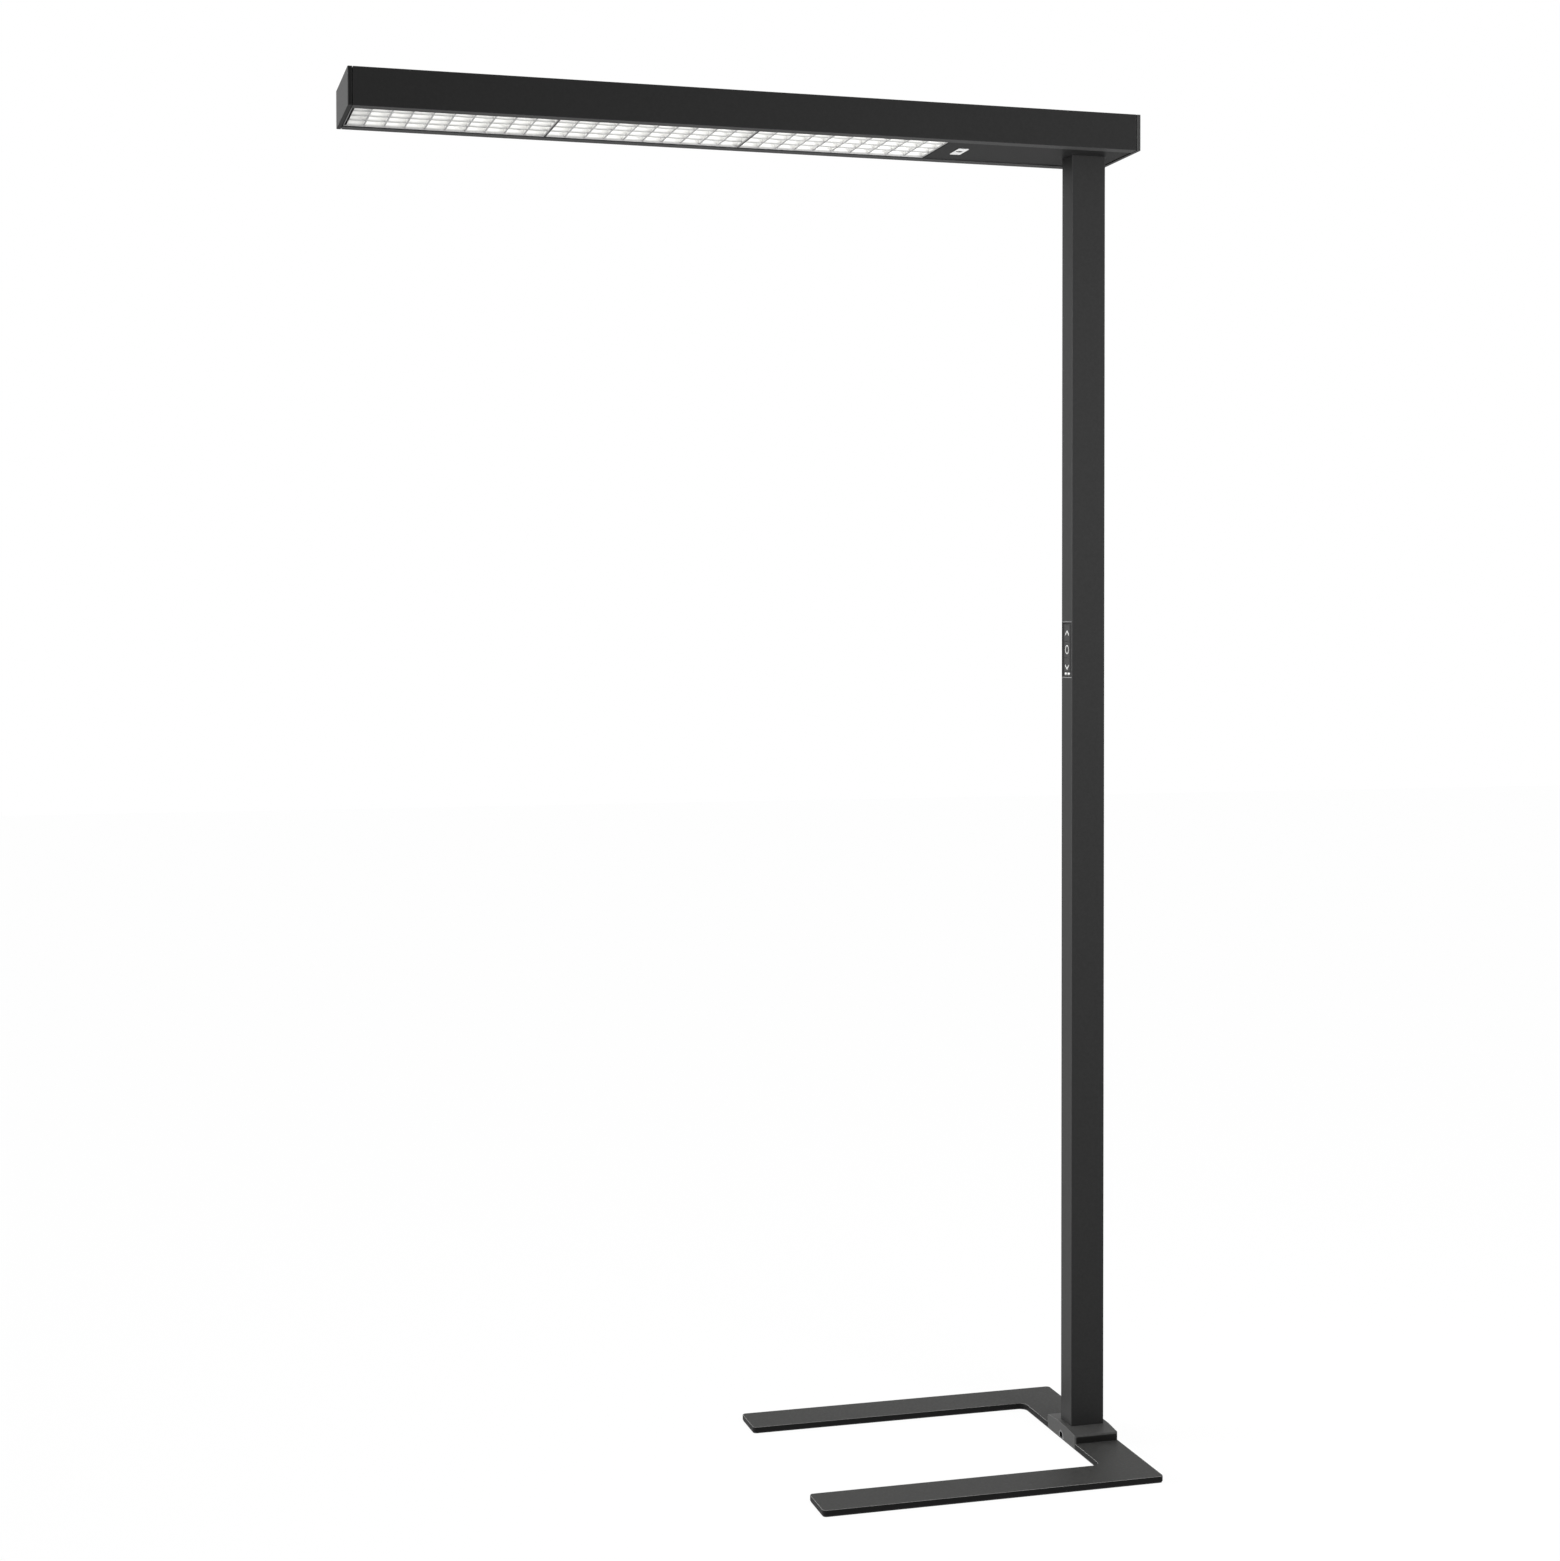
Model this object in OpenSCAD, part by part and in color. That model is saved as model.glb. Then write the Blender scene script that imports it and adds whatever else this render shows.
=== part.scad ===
// Office floor lamp: a long flat head carried at one end by a pole on a U-shaped steel base.
// Millimetres. The origin is on the floor under the axis of the pole, X runs along the head
// with its free end at -X, Y across the head, and Z up.

/* [Lamp] */
// Height of the whole lamp
total_h = 1950; // [1750:10:2100]

/* [Head] */
// Length of the head over its end caps
head_l = 1139.5; // [950:0.5:1400]
// Width of the head
head_w = 158; // [146:0.5:180]
// Height of the head
head_h = 52; // [50:1:62]
// Reach of the head past the pole axis, on the side of the pole
head_over = 56; // [55.5:0.5:90]
// Thickness of each end cap
cap_t = 7; // [6.5:0.5:8.5]
// Length of the closed panel under the head, next to the pole
panel_l = 279; // [265:0.5:340]

/* [Louvre] */
// Cells along one louvre
louvre_cols = 10; // [6:1:12]
// Cells across one louvre
louvre_rows = 4; // [3:1:5]
// Height of one louvre
louvre_h = 16; // [10:1:18]

/* [Pole] */
// Width of the pole along the head
pole_w = 52; // [50:1:56]
// Depth of the pole across the head
pole_d = 39; // [36:1:44]
// Wall of the pole
pole_wall = 2.5; // [2:0.1:3]

/* [Base] */
// Length of the base, from the tips of its legs to the far edge of its crossbar
base_l = 502; // [420:2:600]
// Width of the base over its two legs
base_w = 429; // [360:1:520]
// Width of each leg and of the crossbar
leg_w = 68; // [65:1:76]
// Thickness of the steel plate
plate_t = 8; // [8:0.5:12]
// Length of the shoe along the crossbar
shoe_l = 109; // [106:1:130]

/* [Keypad] */
// Height of the middle of the keypad
keypad_z = 1174; // [1000:10:1250]
// Travel of each key
key_travel = 0.6; // [0.3:0.1:0.7]

/* [Hidden] */
$fn = 48;
eps = 0.02;          // overshoot of a cutter past the face that it cuts
fit = 0.2;           // clearance between two pieces that are put together
bore_fit = 0.1;      // clearance on the diameter of a screw or pin in its bore

// base
liner_t = 1.5;
liner_in = 1;        // how far the liner stays inside the edge of the plate
tip_r = 6;
inner_r = 12;
plate_z0 = liner_t;
plate_z1 = liner_t + plate_t;
bar_x = leg_w / 2;   // half the crossbar, which the pole stands on the middle of
tip_x = bar_x - base_l;
leg_y = base_w / 2 - leg_w / 2;

// shoe
shoe_wall = 3;
skirt_t = 2.4;
shoe_side_h = 11.7;  // height of the shoe over the plate at its ends
shoe_mid_h = 14.5;   // height of the shoe over the plate at the pole
shoe_round = 4;
shoe_y = shoe_l / 2;
boss_y = shoe_y - 6;

// power inlet, in the arch of the shoe's skirt
arch_r = 10;
arch_z = plate_z0 + 1.8;        // height of the centre of the arch
inlet_x1 = -9;                  // inner end of the inlet
mouth_r = 4.8;
mouth_z = plate_z0 + 4.7;       // height of the centre of the mouth's arch
collar_t = 2.8;

// pole and its foot
pole_r = 1.2;
foot_t = 6;
foot_w = leg_w - 8;
foot_l = shoe_l - 21;
pole_z0 = plate_z1 + foot_t;
channel_r = 2.1;                // screw channels of the extrusions
channel_wall = 2.4;
channel_in = pole_wall + channel_r + channel_wall - 1;   // from a face of the pole to a channel
channel_x = pole_w / 2 - channel_in;
channel_y = pole_d / 2 - channel_in;
m3 = 3;
m4 = 4;
m5 = 5;
m6 = 6;
foot_screw_x = foot_w / 2 - 11;
foot_screw_y = foot_l / 2 - 8;
cable_d = 6;
cable_x = 1;
lead_d = 3;
lead_x = -9;

// head: heights are over the underside of its profile
head_z = total_h - head_h;
head_x1 = head_over;
head_x0 = head_over - head_l;
prof_x0 = head_x0 + cap_t;
prof_x1 = head_x1 - cap_t;
wall = 2.5;
lip = 18.5;                     // width of each lower lip
lip_t = 1.5;
slot_w = head_w - 2 * lip;      // opening between the lips
top_lip = 12.5;
top_lip_t = 2;
web_z0 = head_h - 24;
web_t = 3;
web_z1 = web_z0 + web_t;
slot_z = head_h - top_lip_t - 2;  // seat of the upper covers
cover_t = 1.8;
recess = 0.8;                   // height of the panel over the underside of the lips
panel_gap = 2;                  // shadow gap between the panel and a lip
cap_r = 2;
flange_t = 1.2;
flange_y = slot_w / 2 + 3;
bracket_z = 4.5;                // top of the pole, over the underside of the head
bracket_t = 8;
bracket_l = 92;
bracket_out = 11;               // how far the bracket stands out past the pole, across the head
bracket_w = pole_d + 2 * bracket_out;
way_l = 26;                     // way for the cables through the bracket
way_w = 14;
bracket_hole_x = bracket_l / 2 - 10;
bracket_hole_y = bracket_w / 2 - 10;
pole_z1 = head_z + bracket_z;

// louvres, from the free end of the head to the closed panel
panel_x0 = prof_x1 - panel_l;
louvre_l = (panel_x0 - prof_x0) / 3;
louvre_gap = 1;
louvre_in = 3;                  // height of the blades over the underside of the lips
blade_t = 1.2;
diffuser_t = 2;
board_w = 24;
board_t = 1.6;
led_n = 12;
led_s = 3;
led_t = 0.8;

// sensor, in the closed panel
sensor_in = 35;                 // from the end of the panel to the middle of the sensor
sensor_x = panel_x0 + sensor_in;
sensor_l = 16;
sensor_w = 41;
bezel_t = 0.5;
lens_r = 5.2;
lens_ball = 12;                 // radius of the lens's dome
lens_drop = 0.3;                // how far the lens reaches under the head
sensor_board_l = 24;
sensor_board_w = 54;

// driver and terminal block, on the web over the closed panel
driver_l = 170;
driver_w = 38;
driver_h = 15;
driver_x1 = -bracket_l / 2 + 10;
driver_x0 = driver_x1 - driver_l;
driver_gap = 17;                // from the bracket's side to the middle of the driver
driver_y = -bracket_w / 2 - driver_gap;
ear = 9;
terminal_l = 30;
terminal_w = 16;
terminal_h = 13;
terminal_y = driver_y;
wire_up = 6;                    // height of the cables over the web
wire_z = head_z + web_z1 + wire_up;

// keypad: heights are over the middle of its recess, depths are along +X from the pole's face
face_x = -pole_w / 2;
recess_h = 80.5;
recess_d = 9;
house_in = 0.8;                 // how far the housing sits inside the face of the pole
house_x = face_x + house_in;
house_y = pole_d / 2 - 0.3;
house_r = 6.5;
plate_x = house_x + 0.2;        // outer face of the keypad plate
keyplate_t = 1;
plate_w = 24;
plate_top = 38.8;
plate_low = -39.6;
key_w = 20.5;
key_flange_w = 22.2;
key_gap = 0.35;
key_edges = [-32.85, -12.15, 12.15, 36.75];   // lower and upper edges of the three keys
key_proud = 0.4;
mark_h = 0.3;
mark_w = 1.6;
mark_z = [-26, 0, 24.5];        // middles of the three marks
pocket_x = house_x + 6.2;       // floor of the housing's pocket
kboard_t = 1;
switch_t = 1.4;
window_z = -36;
window_w = 19;
window_h = 4;
stem_x = pocket_x - kboard_t - switch_t - key_travel - 0.05;

// rounded rectangle about the origin
module rrect(l, w, r) {
    square([l - 2 * r, w], center = true);
    square([l, w - 2 * r], center = true);
    for (x = [-1, 1], y = [-1, 1])
        translate([x * (l / 2 - r), y * (w / 2 - r)])
            circle(r);
}

// box between two corners
module slab(x0, x1, y0, y1, z0, z1)
    translate([x0, y0, z0])
        cube([x1 - x0, y1 - y0, z1 - z0]);

// a shape drawn in Y and Z, extruded along X
module along_x(x0, x1)
    translate([x0, 0, 0])
        rotate([90, 0, 90])
            linear_extrude(x1 - x0)
                children();

// copies at the four corners (+-x, +-y)
module corners(x, y)
    for (a = [-1, 1], b = [-1, 1])
        translate([a * x, b * y, 0])
            children();

// countersunk screw that points up, with the face of its head at z = 0
module csk_screw(d, l) {
    cylinder(h = d / 2, d1 = 2 * d, d2 = d);
    cylinder(h = l, d = d);
}

// hole for a countersunk screw
module csk_hole(d, l) {
    translate([0, 0, -eps])
        cylinder(h = d / 2 + eps, d1 = 2 * d + 2 * eps, d2 = d);
    cylinder(h = l, d = d + bore_fit);
}

// pan head screw that points down, with its head standing on z = 0
module pan_screw(d, l) {
    difference() {
        cylinder(h = 0.6 * d, d = 1.8 * d);
        translate([0, 0, 0.3 * d])
            cylinder(h = d, d = 0.9 * d, $fn = 6);
    }
    translate([0, 0, -l])
        cylinder(h = l, d = d);
}

// round cable through a list of points
module cable(pts, d) {
    for (i = [0 : len(pts) - 2]) {
        run = pts[i + 1] - pts[i];
        turn = atan2(norm([run.x, run.y]), run.z);
        translate(pts[i])
            rotate([0, turn, atan2(run.y, run.x)])
                cylinder(h = norm(run), d = d);
    }
    for (i = [1 : len(pts) - 2])
        translate(pts[i])
            sphere(d = d);
}

// plan of the base, drawn in by a margin
module u_plan(in) {
    r = tip_r - in;
    rrect(leg_w - 2 * in, base_w - 2 * in, r);
    for (side = [0, 1])
        mirror([0, side]) {
            translate([(bar_x + tip_x) / 2, leg_y])
                rrect(base_l - 2 * in, leg_w - 2 * in, r);
            // fillet of the inner corner
            translate([-bar_x + in - inner_r, base_w / 2 - leg_w + in - inner_r])
                difference() {
                    square(1.5 * inner_r);
                    circle(inner_r);
                }
        }
}

// arch in Y and Z: half circle about z, over straight sides that go down to z0
module arch(r, z, z0)
    intersection() {
        union() {
            translate([0, z])
                circle(r);
            translate([-r, z0])
                square([2 * r, z - z0]);
        }
        translate([-r, z0])
            square([2 * r, z - z0 + r]);
    }

module base_liner()
    color("#151515")
        linear_extrude(liner_t)
            u_plan(liner_in);

module base_plate()
    color("#3f4042")
        difference() {
            translate([0, 0, plate_z0])
                linear_extrude(plate_t)
                    u_plan(0);
            // seat of the shoe's skirt
            slab(-bar_x - 1, -bar_x + skirt_t + fit, -shoe_y - fit, shoe_y + fit,
                plate_z0 - 1, plate_z1 + 1);
            // slot for the power inlet, and a narrower one for its cable
            slab(-bar_x, inlet_x1 + fit, -arch_r, arch_r, plate_z0 - 1, plate_z1 + 1);
            slab(inlet_x1, cable_x, -cable_d, cable_d, plate_z0 - 1, plate_z1 + 1);
            translate([cable_x, 0, plate_z0 - 1])
                cylinder(h = plate_t + 2, r = cable_d);
            translate([0, 0, plate_z0]) {
                corners(foot_screw_x, foot_screw_y)
                    csk_hole(m6, plate_t + 1);
                for (s = [-1, 1])
                    translate([0, s * boss_y, 0])
                        csk_hole(m4, plate_t + 1);
            }
        }

// half of the shoe's outline in Y and Z, drawn in by a margin, from the plate up
module shoe_half(in) {
    y1 = shoe_y - in;
    z_mid = plate_z1 + shoe_mid_h - in;
    z_end = plate_z1 + shoe_side_h - in;
    polygon([[-1, plate_z1 - eps], [y1, plate_z1 - eps], [y1, z_end - shoe_round],
        [y1 - shoe_round, z_end], [pole_d / 2, z_mid], [-1, z_mid]]);
    translate([y1 - shoe_round, z_end - shoe_round])
        circle(shoe_round);
}

module shoe_form(in, extra)
    intersection() {
        along_x(-bar_x - 1, bar_x + 1) {
            shoe_half(in);
            mirror([1, 0])
                shoe_half(in);
        }
        translate([0, 0, plate_z1 - extra])
            linear_extrude(shoe_mid_h + extra + 1)
                rrect(leg_w - 2 * in, shoe_l - 2 * in, 3.5);
    }

module base_shoe()
    color("#47484a")
        difference() {
            union() {
                difference() {
                    shoe_form(0, 0);
                    shoe_form(shoe_wall, 1);
                }
                // skirt over the edge of the plate, on the side of the legs
                intersection() {
                    slab(-bar_x, -bar_x + skirt_t, -shoe_y, shoe_y, plate_z0 + 0.3, plate_z1 + 2);
                    translate([0, 0, plate_z0])
                        linear_extrude(plate_t + 3)
                            rrect(leg_w, shoe_l, 3.5);
                }
                // bosses for the screws from below
                intersection() {
                    for (s = [-1, 1])
                        translate([0, s * boss_y, plate_z1])
                            cylinder(h = shoe_mid_h, r = 4);
                    shoe_form(0.5, 0);
                }
            }
            translate([0, 0, plate_z1])
                linear_extrude(shoe_mid_h + 1)
                    rrect(pole_w + 2 * fit, pole_d + 2 * fit, pole_r + fit);
            for (s = [-1, 1])
                translate([0, s * boss_y, plate_z1 - 1])
                    cylinder(h = 8, d = m4 + bore_fit);
            along_x(-bar_x - 1, -bar_x + shoe_wall + 1)
                arch(arch_r, arch_z, 0);
        }

module pole_foot()
    color("#8b8d90")
        difference() {
            translate([0, 0, plate_z1])
                linear_extrude(foot_t)
                    difference() {
                        rrect(foot_w, foot_l, 3);
                        rrect(22, 18, 4);
                        corners(foot_screw_x, foot_screw_y)
                            circle(d = m6 + bore_fit);
                    }
            translate([0, 0, plate_z1])
                corners(channel_x, channel_y)
                    csk_hole(m5, foot_t + 1);
        }

module base_screws()
    color("#9a9c9f")
        translate([0, 0, plate_z0])
            corners(foot_screw_x, foot_screw_y)
                csk_screw(m6, plate_t + foot_t - 1);

module foot_screws()
    color("#9a9c9f")
        translate([0, 0, plate_z1])
            corners(channel_x, channel_y)
                csk_screw(2 * channel_r - bore_fit, foot_t + 22);

module shoe_screws()
    color("#9a9c9f")
        translate([0, 0, plate_z0])
            for (s = [-1, 1])
                translate([0, s * boss_y, 0])
                    csk_screw(m4, plate_t + 5);

module power_inlet()
    color("#6f7072")
        difference() {
            union() {
                // collar that fills the arch
                along_x(-bar_x + 0.3, -bar_x + 0.3 + collar_t)
                    arch(arch_r - fit, arch_z, plate_z0);
                slab(-bar_x + collar_t, inlet_x1, -arch_r + fit, arch_r - fit,
                    plate_z0, plate_z1 - fit);
            }
            along_x(-bar_x, -bar_x + collar_t + 1)
                arch(mouth_r, mouth_z, plate_z0 + 0.9);
            slab(-bar_x, inlet_x1 - 5, -mouth_r, mouth_r, plate_z0 + 0.9, plate_z1 - 1.2);
            for (y = [-1, 0, 1])
                translate([inlet_x1 - 7, y * 2.8, arch_z + 1])
                    rotate([0, 90, 0])
                        cylinder(h = 5, d = 1.7);
        }

module inlet_pins()
    color("#c9a24a")
        for (y = [-1, 0, 1])
            translate([inlet_x1 - 11, y * 2.8, arch_z + 1])
                rotate([0, 90, 0])
                    cylinder(h = 9, d = 1.6);

module supply_cable()
    color("#1b1b1b")
        cable([[inlet_x1, 0, plate_z0 + plate_t / 2], [cable_x, 0, plate_z0 + plate_t / 2],
            [cable_x, 0, wire_z], [cable_x, terminal_y + terminal_w / 2, wire_z]], cable_d);

// section of the pole: tube with four screw channels
module pole_section()
    difference() {
        union() {
            difference() {
                rrect(pole_w, pole_d, pole_r);
                rrect(pole_w - 2 * pole_wall, pole_d - 2 * pole_wall, 1.5);
            }
            corners(channel_x, channel_y)
                circle(channel_r + channel_wall);
        }
        corners(channel_x, channel_y)
            circle(channel_r);
    }

module pole_tube()
    color("#3b3c3e")
        difference() {
            translate([0, 0, pole_z0])
                linear_extrude(pole_z1 - pole_z0)
                    pole_section();
            // recess of the keypad, across the whole face
            slab(face_x - 1, face_x + recess_d, -pole_d, pole_d,
                keypad_z - recess_h / 2, keypad_z + recess_h / 2);
            // its broken edges, above and below
            for (s = [-1, 1])
                translate([face_x, 0, keypad_z + s * recess_h / 2])
                    rotate([0, 45, 0])
                        cube([2, 2 * pole_d, 2], center = true);
        }

module control_housing()
    color("#38393b")
        difference() {
            union() {
                translate([0, 0, keypad_z - recess_h / 2 + fit])
                    linear_extrude(recess_h - 2 * fit)
                        intersection() {
                            rrect(pole_w - 2 * house_in, 2 * house_y, house_r);
                            translate([face_x, -pole_d])
                                square([recess_d, 2 * pole_d]);
                        }
                // hooks behind the wall of the pole, above and below
                slab(face_x + pole_wall + fit, face_x + pole_wall + fit + 2, -6, 6,
                    keypad_z - recess_h / 2 - 3, keypad_z + recess_h / 2 + 3);
            }
            slab(house_x - 1, plate_x + keyplate_t, -plate_w / 2 - 0.1, plate_w / 2 + 0.1,
                keypad_z + plate_low - 0.1, keypad_z + plate_top + 0.1);
            slab(house_x, pocket_x, -key_flange_w / 2 - fit, key_flange_w / 2 + fit,
                keypad_z + window_z - window_h / 2 - 0.3, keypad_z + key_edges[3] + 0.9);
            translate([pocket_x - 1, 0, keypad_z - 20])
                rotate([0, 90, 0])
                    cylinder(h = recess_d, d = lead_d + 1);
        }

// stadium in Y and Z
module pill(w, h) {
    square([w - h, h], center = true);
    for (s = [-1, 1])
        translate([s * (w - h) / 2, 0])
            circle(d = h);
}

module control_plate()
    color("#5b5c5e")
        difference() {
            slab(plate_x, plate_x + keyplate_t, -plate_w / 2, plate_w / 2,
                keypad_z + plate_low, keypad_z + plate_top);
            slab(plate_x - 1, plate_x + 2, -key_w / 2 - 0.25, key_w / 2 + 0.25,
                keypad_z + key_edges[0] - 0.25, keypad_z + key_edges[3] + 0.25);
            translate([0, 0, keypad_z + window_z])
                along_x(plate_x - 1, plate_x + 2)
                    pill(window_w + 0.2, window_h + 0.2);
        }

// mark of one key in Y and Z: a ring on the middle one, a chevron that points up or down
module key_mark(i)
    if (i == 1)
        difference() {
            circle(6.7);
            circle(6.7 - mark_w);
        }
    else
        scale(i == 2 ? 1 : -1)
            polygon([[-6.6, -4.2], [0, 1.4], [6.6, -4.2], [6.6, -1.4], [0, 4.2], [-6.6, -1.4]]);

// key number i of three, from the lowest up
module keypad_key(i) {
    z0 = keypad_z + key_edges[i] + (i > 0 ? key_gap / 2 : 0);
    z1 = keypad_z + key_edges[i + 1] - (i < 2 ? key_gap / 2 : 0);
    key_x = plate_x - key_proud;
    flange_x = plate_x + keyplate_t + 0.05;
    slab(key_x, flange_x + 0.9, -key_w / 2, key_w / 2, z0, z1);
    slab(flange_x, flange_x + 0.9, -key_flange_w / 2, key_flange_w / 2, z0, z1);
    translate([flange_x, 0, keypad_z + mark_z[i]])
        rotate([0, 90, 0])
            cylinder(h = stem_x - flange_x, d = 3);
    translate([0, 0, keypad_z + mark_z[i]])
        along_x(key_x - mark_h, key_x + eps)
            key_mark(i);
}

module key_up()
    color("#6b6c6e")
        keypad_key(2);

module key_power()
    color("#6b6c6e")
        keypad_key(1);

module key_down()
    color("#6b6c6e")
        keypad_key(0);

module status_window()
    color("#f2f2f0")
        translate([0, 0, keypad_z + window_z])
            along_x(plate_x - 0.1, pocket_x - kboard_t)
                pill(window_w, window_h);

module control_board()
    color("#1e5b38")
        slab(pocket_x - kboard_t, pocket_x, -key_flange_w / 2, key_flange_w / 2,
            keypad_z + window_z - window_h / 2 - 0.2, keypad_z + key_edges[3] + 0.7);

module key_switches()
    color("#101010")
        for (z = mark_z)
            slab(pocket_x - kboard_t - switch_t, pocket_x - kboard_t, -3, 3,
                keypad_z + z - 3, keypad_z + z + 3);

module control_lead()
    color("#1b1b1b")
        cable([[pocket_x, 0, keypad_z - 20], [lead_x, 0, keypad_z - 20], [lead_x, 0, wire_z],
            [lead_x, driver_y + 8, wire_z], [driver_x1, driver_y + 8, wire_z]], lead_d);

// half of the head's section in Y and Z, on the side of +Y
module head_half() {
    y1 = head_w / 2;
    difference() {
        union() {
            translate([y1 - wall, 0])
                square([wall, head_h]);
            translate([slot_w / 2, 0])
                square([lip, lip_t]);
            translate([y1 - top_lip, head_h - top_lip_t])
                square([top_lip, top_lip_t]);
            translate([y1 - wall - 6, slot_z - 2])
                square([6, 2]);
            translate([-eps, web_z0])
                square([y1, web_t]);
            for (z = [9, web_z1 + 6])
                translate([y1 - wall - 2.5, z])
                    circle(channel_r + 1.9);
        }
        for (z = [9, web_z1 + 6])
            translate([y1 - wall - 2.5, z])
                circle(channel_r);
    }
}

module head_profile()
    color("#38393b")
        translate([0, 0, head_z])
            difference() {
                along_x(prof_x0, prof_x1) {
                    head_half();
                    mirror([1, 0])
                        head_half();
                }
                // way through the web over the pole, and the screw holes of the web
                translate([0, 0, web_z0 - 1])
                    linear_extrude(web_t + 2) {
                        rrect(pole_w - 5, pole_d - 4, 3);
                        corners(bracket_hole_x, bracket_hole_y)
                            circle(d = m5 + bore_fit);
                        for (x = [driver_x0 - ear / 2, driver_x1 + ear / 2])
                            translate([x, driver_y])
                                circle(d = m3 + bore_fit);
                    }
            }

// end cap that closes the profile, with four pegs in its channels; s is -1 at the free end
module end_cap(s) {
    x_in = s < 0 ? prof_x0 : prof_x1;
    translate([x_in, 0, head_z])
        scale_x(s) {
            linear_extrude(head_h)
                intersection() {
                    rrect(2 * cap_t, head_w, cap_r);
                    translate([0, -head_w / 2])
                        square([cap_t, head_w]);
                }
            for (t = [-1, 1], z = [9, web_z1 + 6])
                translate([-12, t * (head_w / 2 - wall - 2.5), z])
                    rotate([0, 90, 0])
                        cylinder(h = 12 + eps, d = 2 * channel_r - bore_fit);
        }
}

// mirrors its children in X when s is negative
module scale_x(s)
    if (s < 0)
        mirror([1, 0, 0])
            children();
    else
        children();

module end_cap_left()
    color("#5a5b5d")
        end_cap(-1);

module end_cap_right()
    color("#5a5b5d")
        end_cap(1);

// louvre number i from the free end: a frame with a grid of blades, and flanges on the lips
module louvre(i) {
    x0 = prof_x0 + i * louvre_l + louvre_gap / 2;
    x1 = prof_x0 + (i + 1) * louvre_l - louvre_gap / 2;
    half = slot_w / 2 - 0.4;
    z0 = head_z + louvre_in;
    cell_l = (x1 - x0 - blade_t) / louvre_cols;
    cell_w = (2 * half - blade_t) / louvre_rows;
    difference() {
        union() {
            slab(x0, x1, -half, half, head_z + lip_t, z0 + louvre_h);
            slab(x0, x1, -flange_y, flange_y, head_z + lip_t, head_z + lip_t + flange_t);
        }
        // the frame stands lower than the blades
        slab(x0 + blade_t, x1 - blade_t, -half + blade_t, half - blade_t, head_z, z0);
        for (c = [0 : louvre_cols - 1], r = [0 : louvre_rows - 1])
            translate([x0 + blade_t + c * cell_l, -half + blade_t + r * cell_w, z0 - 1])
                cube([cell_l - blade_t, cell_w - blade_t, louvre_h + 2]);
    }
}

module louvre_1()
    color("#f0f0ee")
        louvre(0);

module louvre_2()
    color("#f0f0ee")
        louvre(1);

module louvre_3()
    color("#f0f0ee")
        louvre(2);

module louvre_diffuser()
    color("#fbfbf8")
        slab(prof_x0 + 0.5, panel_x0 - 0.5, -slot_w / 2, slot_w / 2,
            head_z + louvre_in + louvre_h, head_z + louvre_in + louvre_h + diffuser_t);

// three strips of circuit board along the louvres, from z up
module boards(z)
    for (i = [0 : 2])
        slab(prof_x0 + i * louvre_l + 4, prof_x0 + (i + 1) * louvre_l - 4,
            -board_w / 2, board_w / 2, z, z + board_t);

// the light sources of the three strips, from z up
module leds(z)
    for (i = [0 : 2], k = [0 : led_n - 1])
        translate([prof_x0 + i * louvre_l + (k + 0.5) * louvre_l / led_n, 0, z + led_t / 2])
            cube([led_s, led_s, led_t], center = true);

module down_boards()
    color("#f4f4f0")
        boards(head_z + web_z0 - board_t);

module down_leds()
    color("#f5e7a8")
        leds(head_z + web_z0 - board_t - led_t);

module up_boards()
    color("#f4f4f0")
        boards(head_z + web_z1);

module up_leds()
    color("#f5e7a8")
        leds(head_z + web_z1 + board_t);

// cover in the upper slots of the profile
module upper_cover(x0, x1)
    slab(x0, x1, -head_w / 2 + wall + 0.4, head_w / 2 - wall - 0.4,
        head_z + slot_z, head_z + slot_z + cover_t);

module top_diffuser()
    color("#f7f7f4")
        upper_cover(prof_x0 + 0.2, panel_x0 - 0.15);

module top_cover()
    color("#38393b")
        upper_cover(panel_x0 + 0.15, prof_x1 - 0.2);

module underside_panel()
    color("#3e3f40")
        translate([0, 0, head_z])
            difference() {
                union() {
                    slab(panel_x0 + 0.15, prof_x1 - 0.2, -slot_w / 2 + panel_gap,
                        slot_w / 2 - panel_gap, recess, lip_t + flange_t);
                    slab(panel_x0 + 0.15, prof_x1 - 0.2, -flange_y, flange_y,
                        lip_t, lip_t + flange_t);
                }
                linear_extrude(lip_t + flange_t + 1) {
                    rrect(pole_w + 2 * fit, pole_d + 2 * fit, pole_r + fit);
                    translate([sensor_x, 0])
                        rrect(sensor_l - 4, sensor_w - 4, 2);
                }
            }

module sensor_bezel()
    color("#eeeeec")
        translate([sensor_x, 0, head_z])
            difference() {
                union() {
                    translate([0, 0, recess - bezel_t])
                        linear_extrude(bezel_t)
                            rrect(sensor_l, sensor_w, 2.5);
                    translate([0, 0, recess - bezel_t])
                        linear_extrude(lip_t + flange_t - recess + bezel_t)
                            rrect(sensor_l - 4 - 2 * fit, sensor_w - 4 - 2 * fit, 1.8);
                }
                translate([0, 0, -1])
                    cylinder(h = lip_t + flange_t + 2, r = lens_r + 0.1);
            }

module sensor_lens()
    color("#202022")
        translate([sensor_x, 0, head_z])
            intersection() {
                translate([0, 0, -lens_drop])
                    cylinder(h = lip_t + flange_t + lens_drop, r = lens_r);
                translate([0, 0, lens_ball - lens_drop])
                    sphere(lens_ball);
            }

module sensor_board()
    color("#1e5b38")
        slab(sensor_x - sensor_board_l / 2, sensor_x + sensor_board_l / 2,
            -sensor_board_w / 2, sensor_board_w / 2,
            head_z + lip_t + flange_t, head_z + lip_t + flange_t + board_t);

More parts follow.
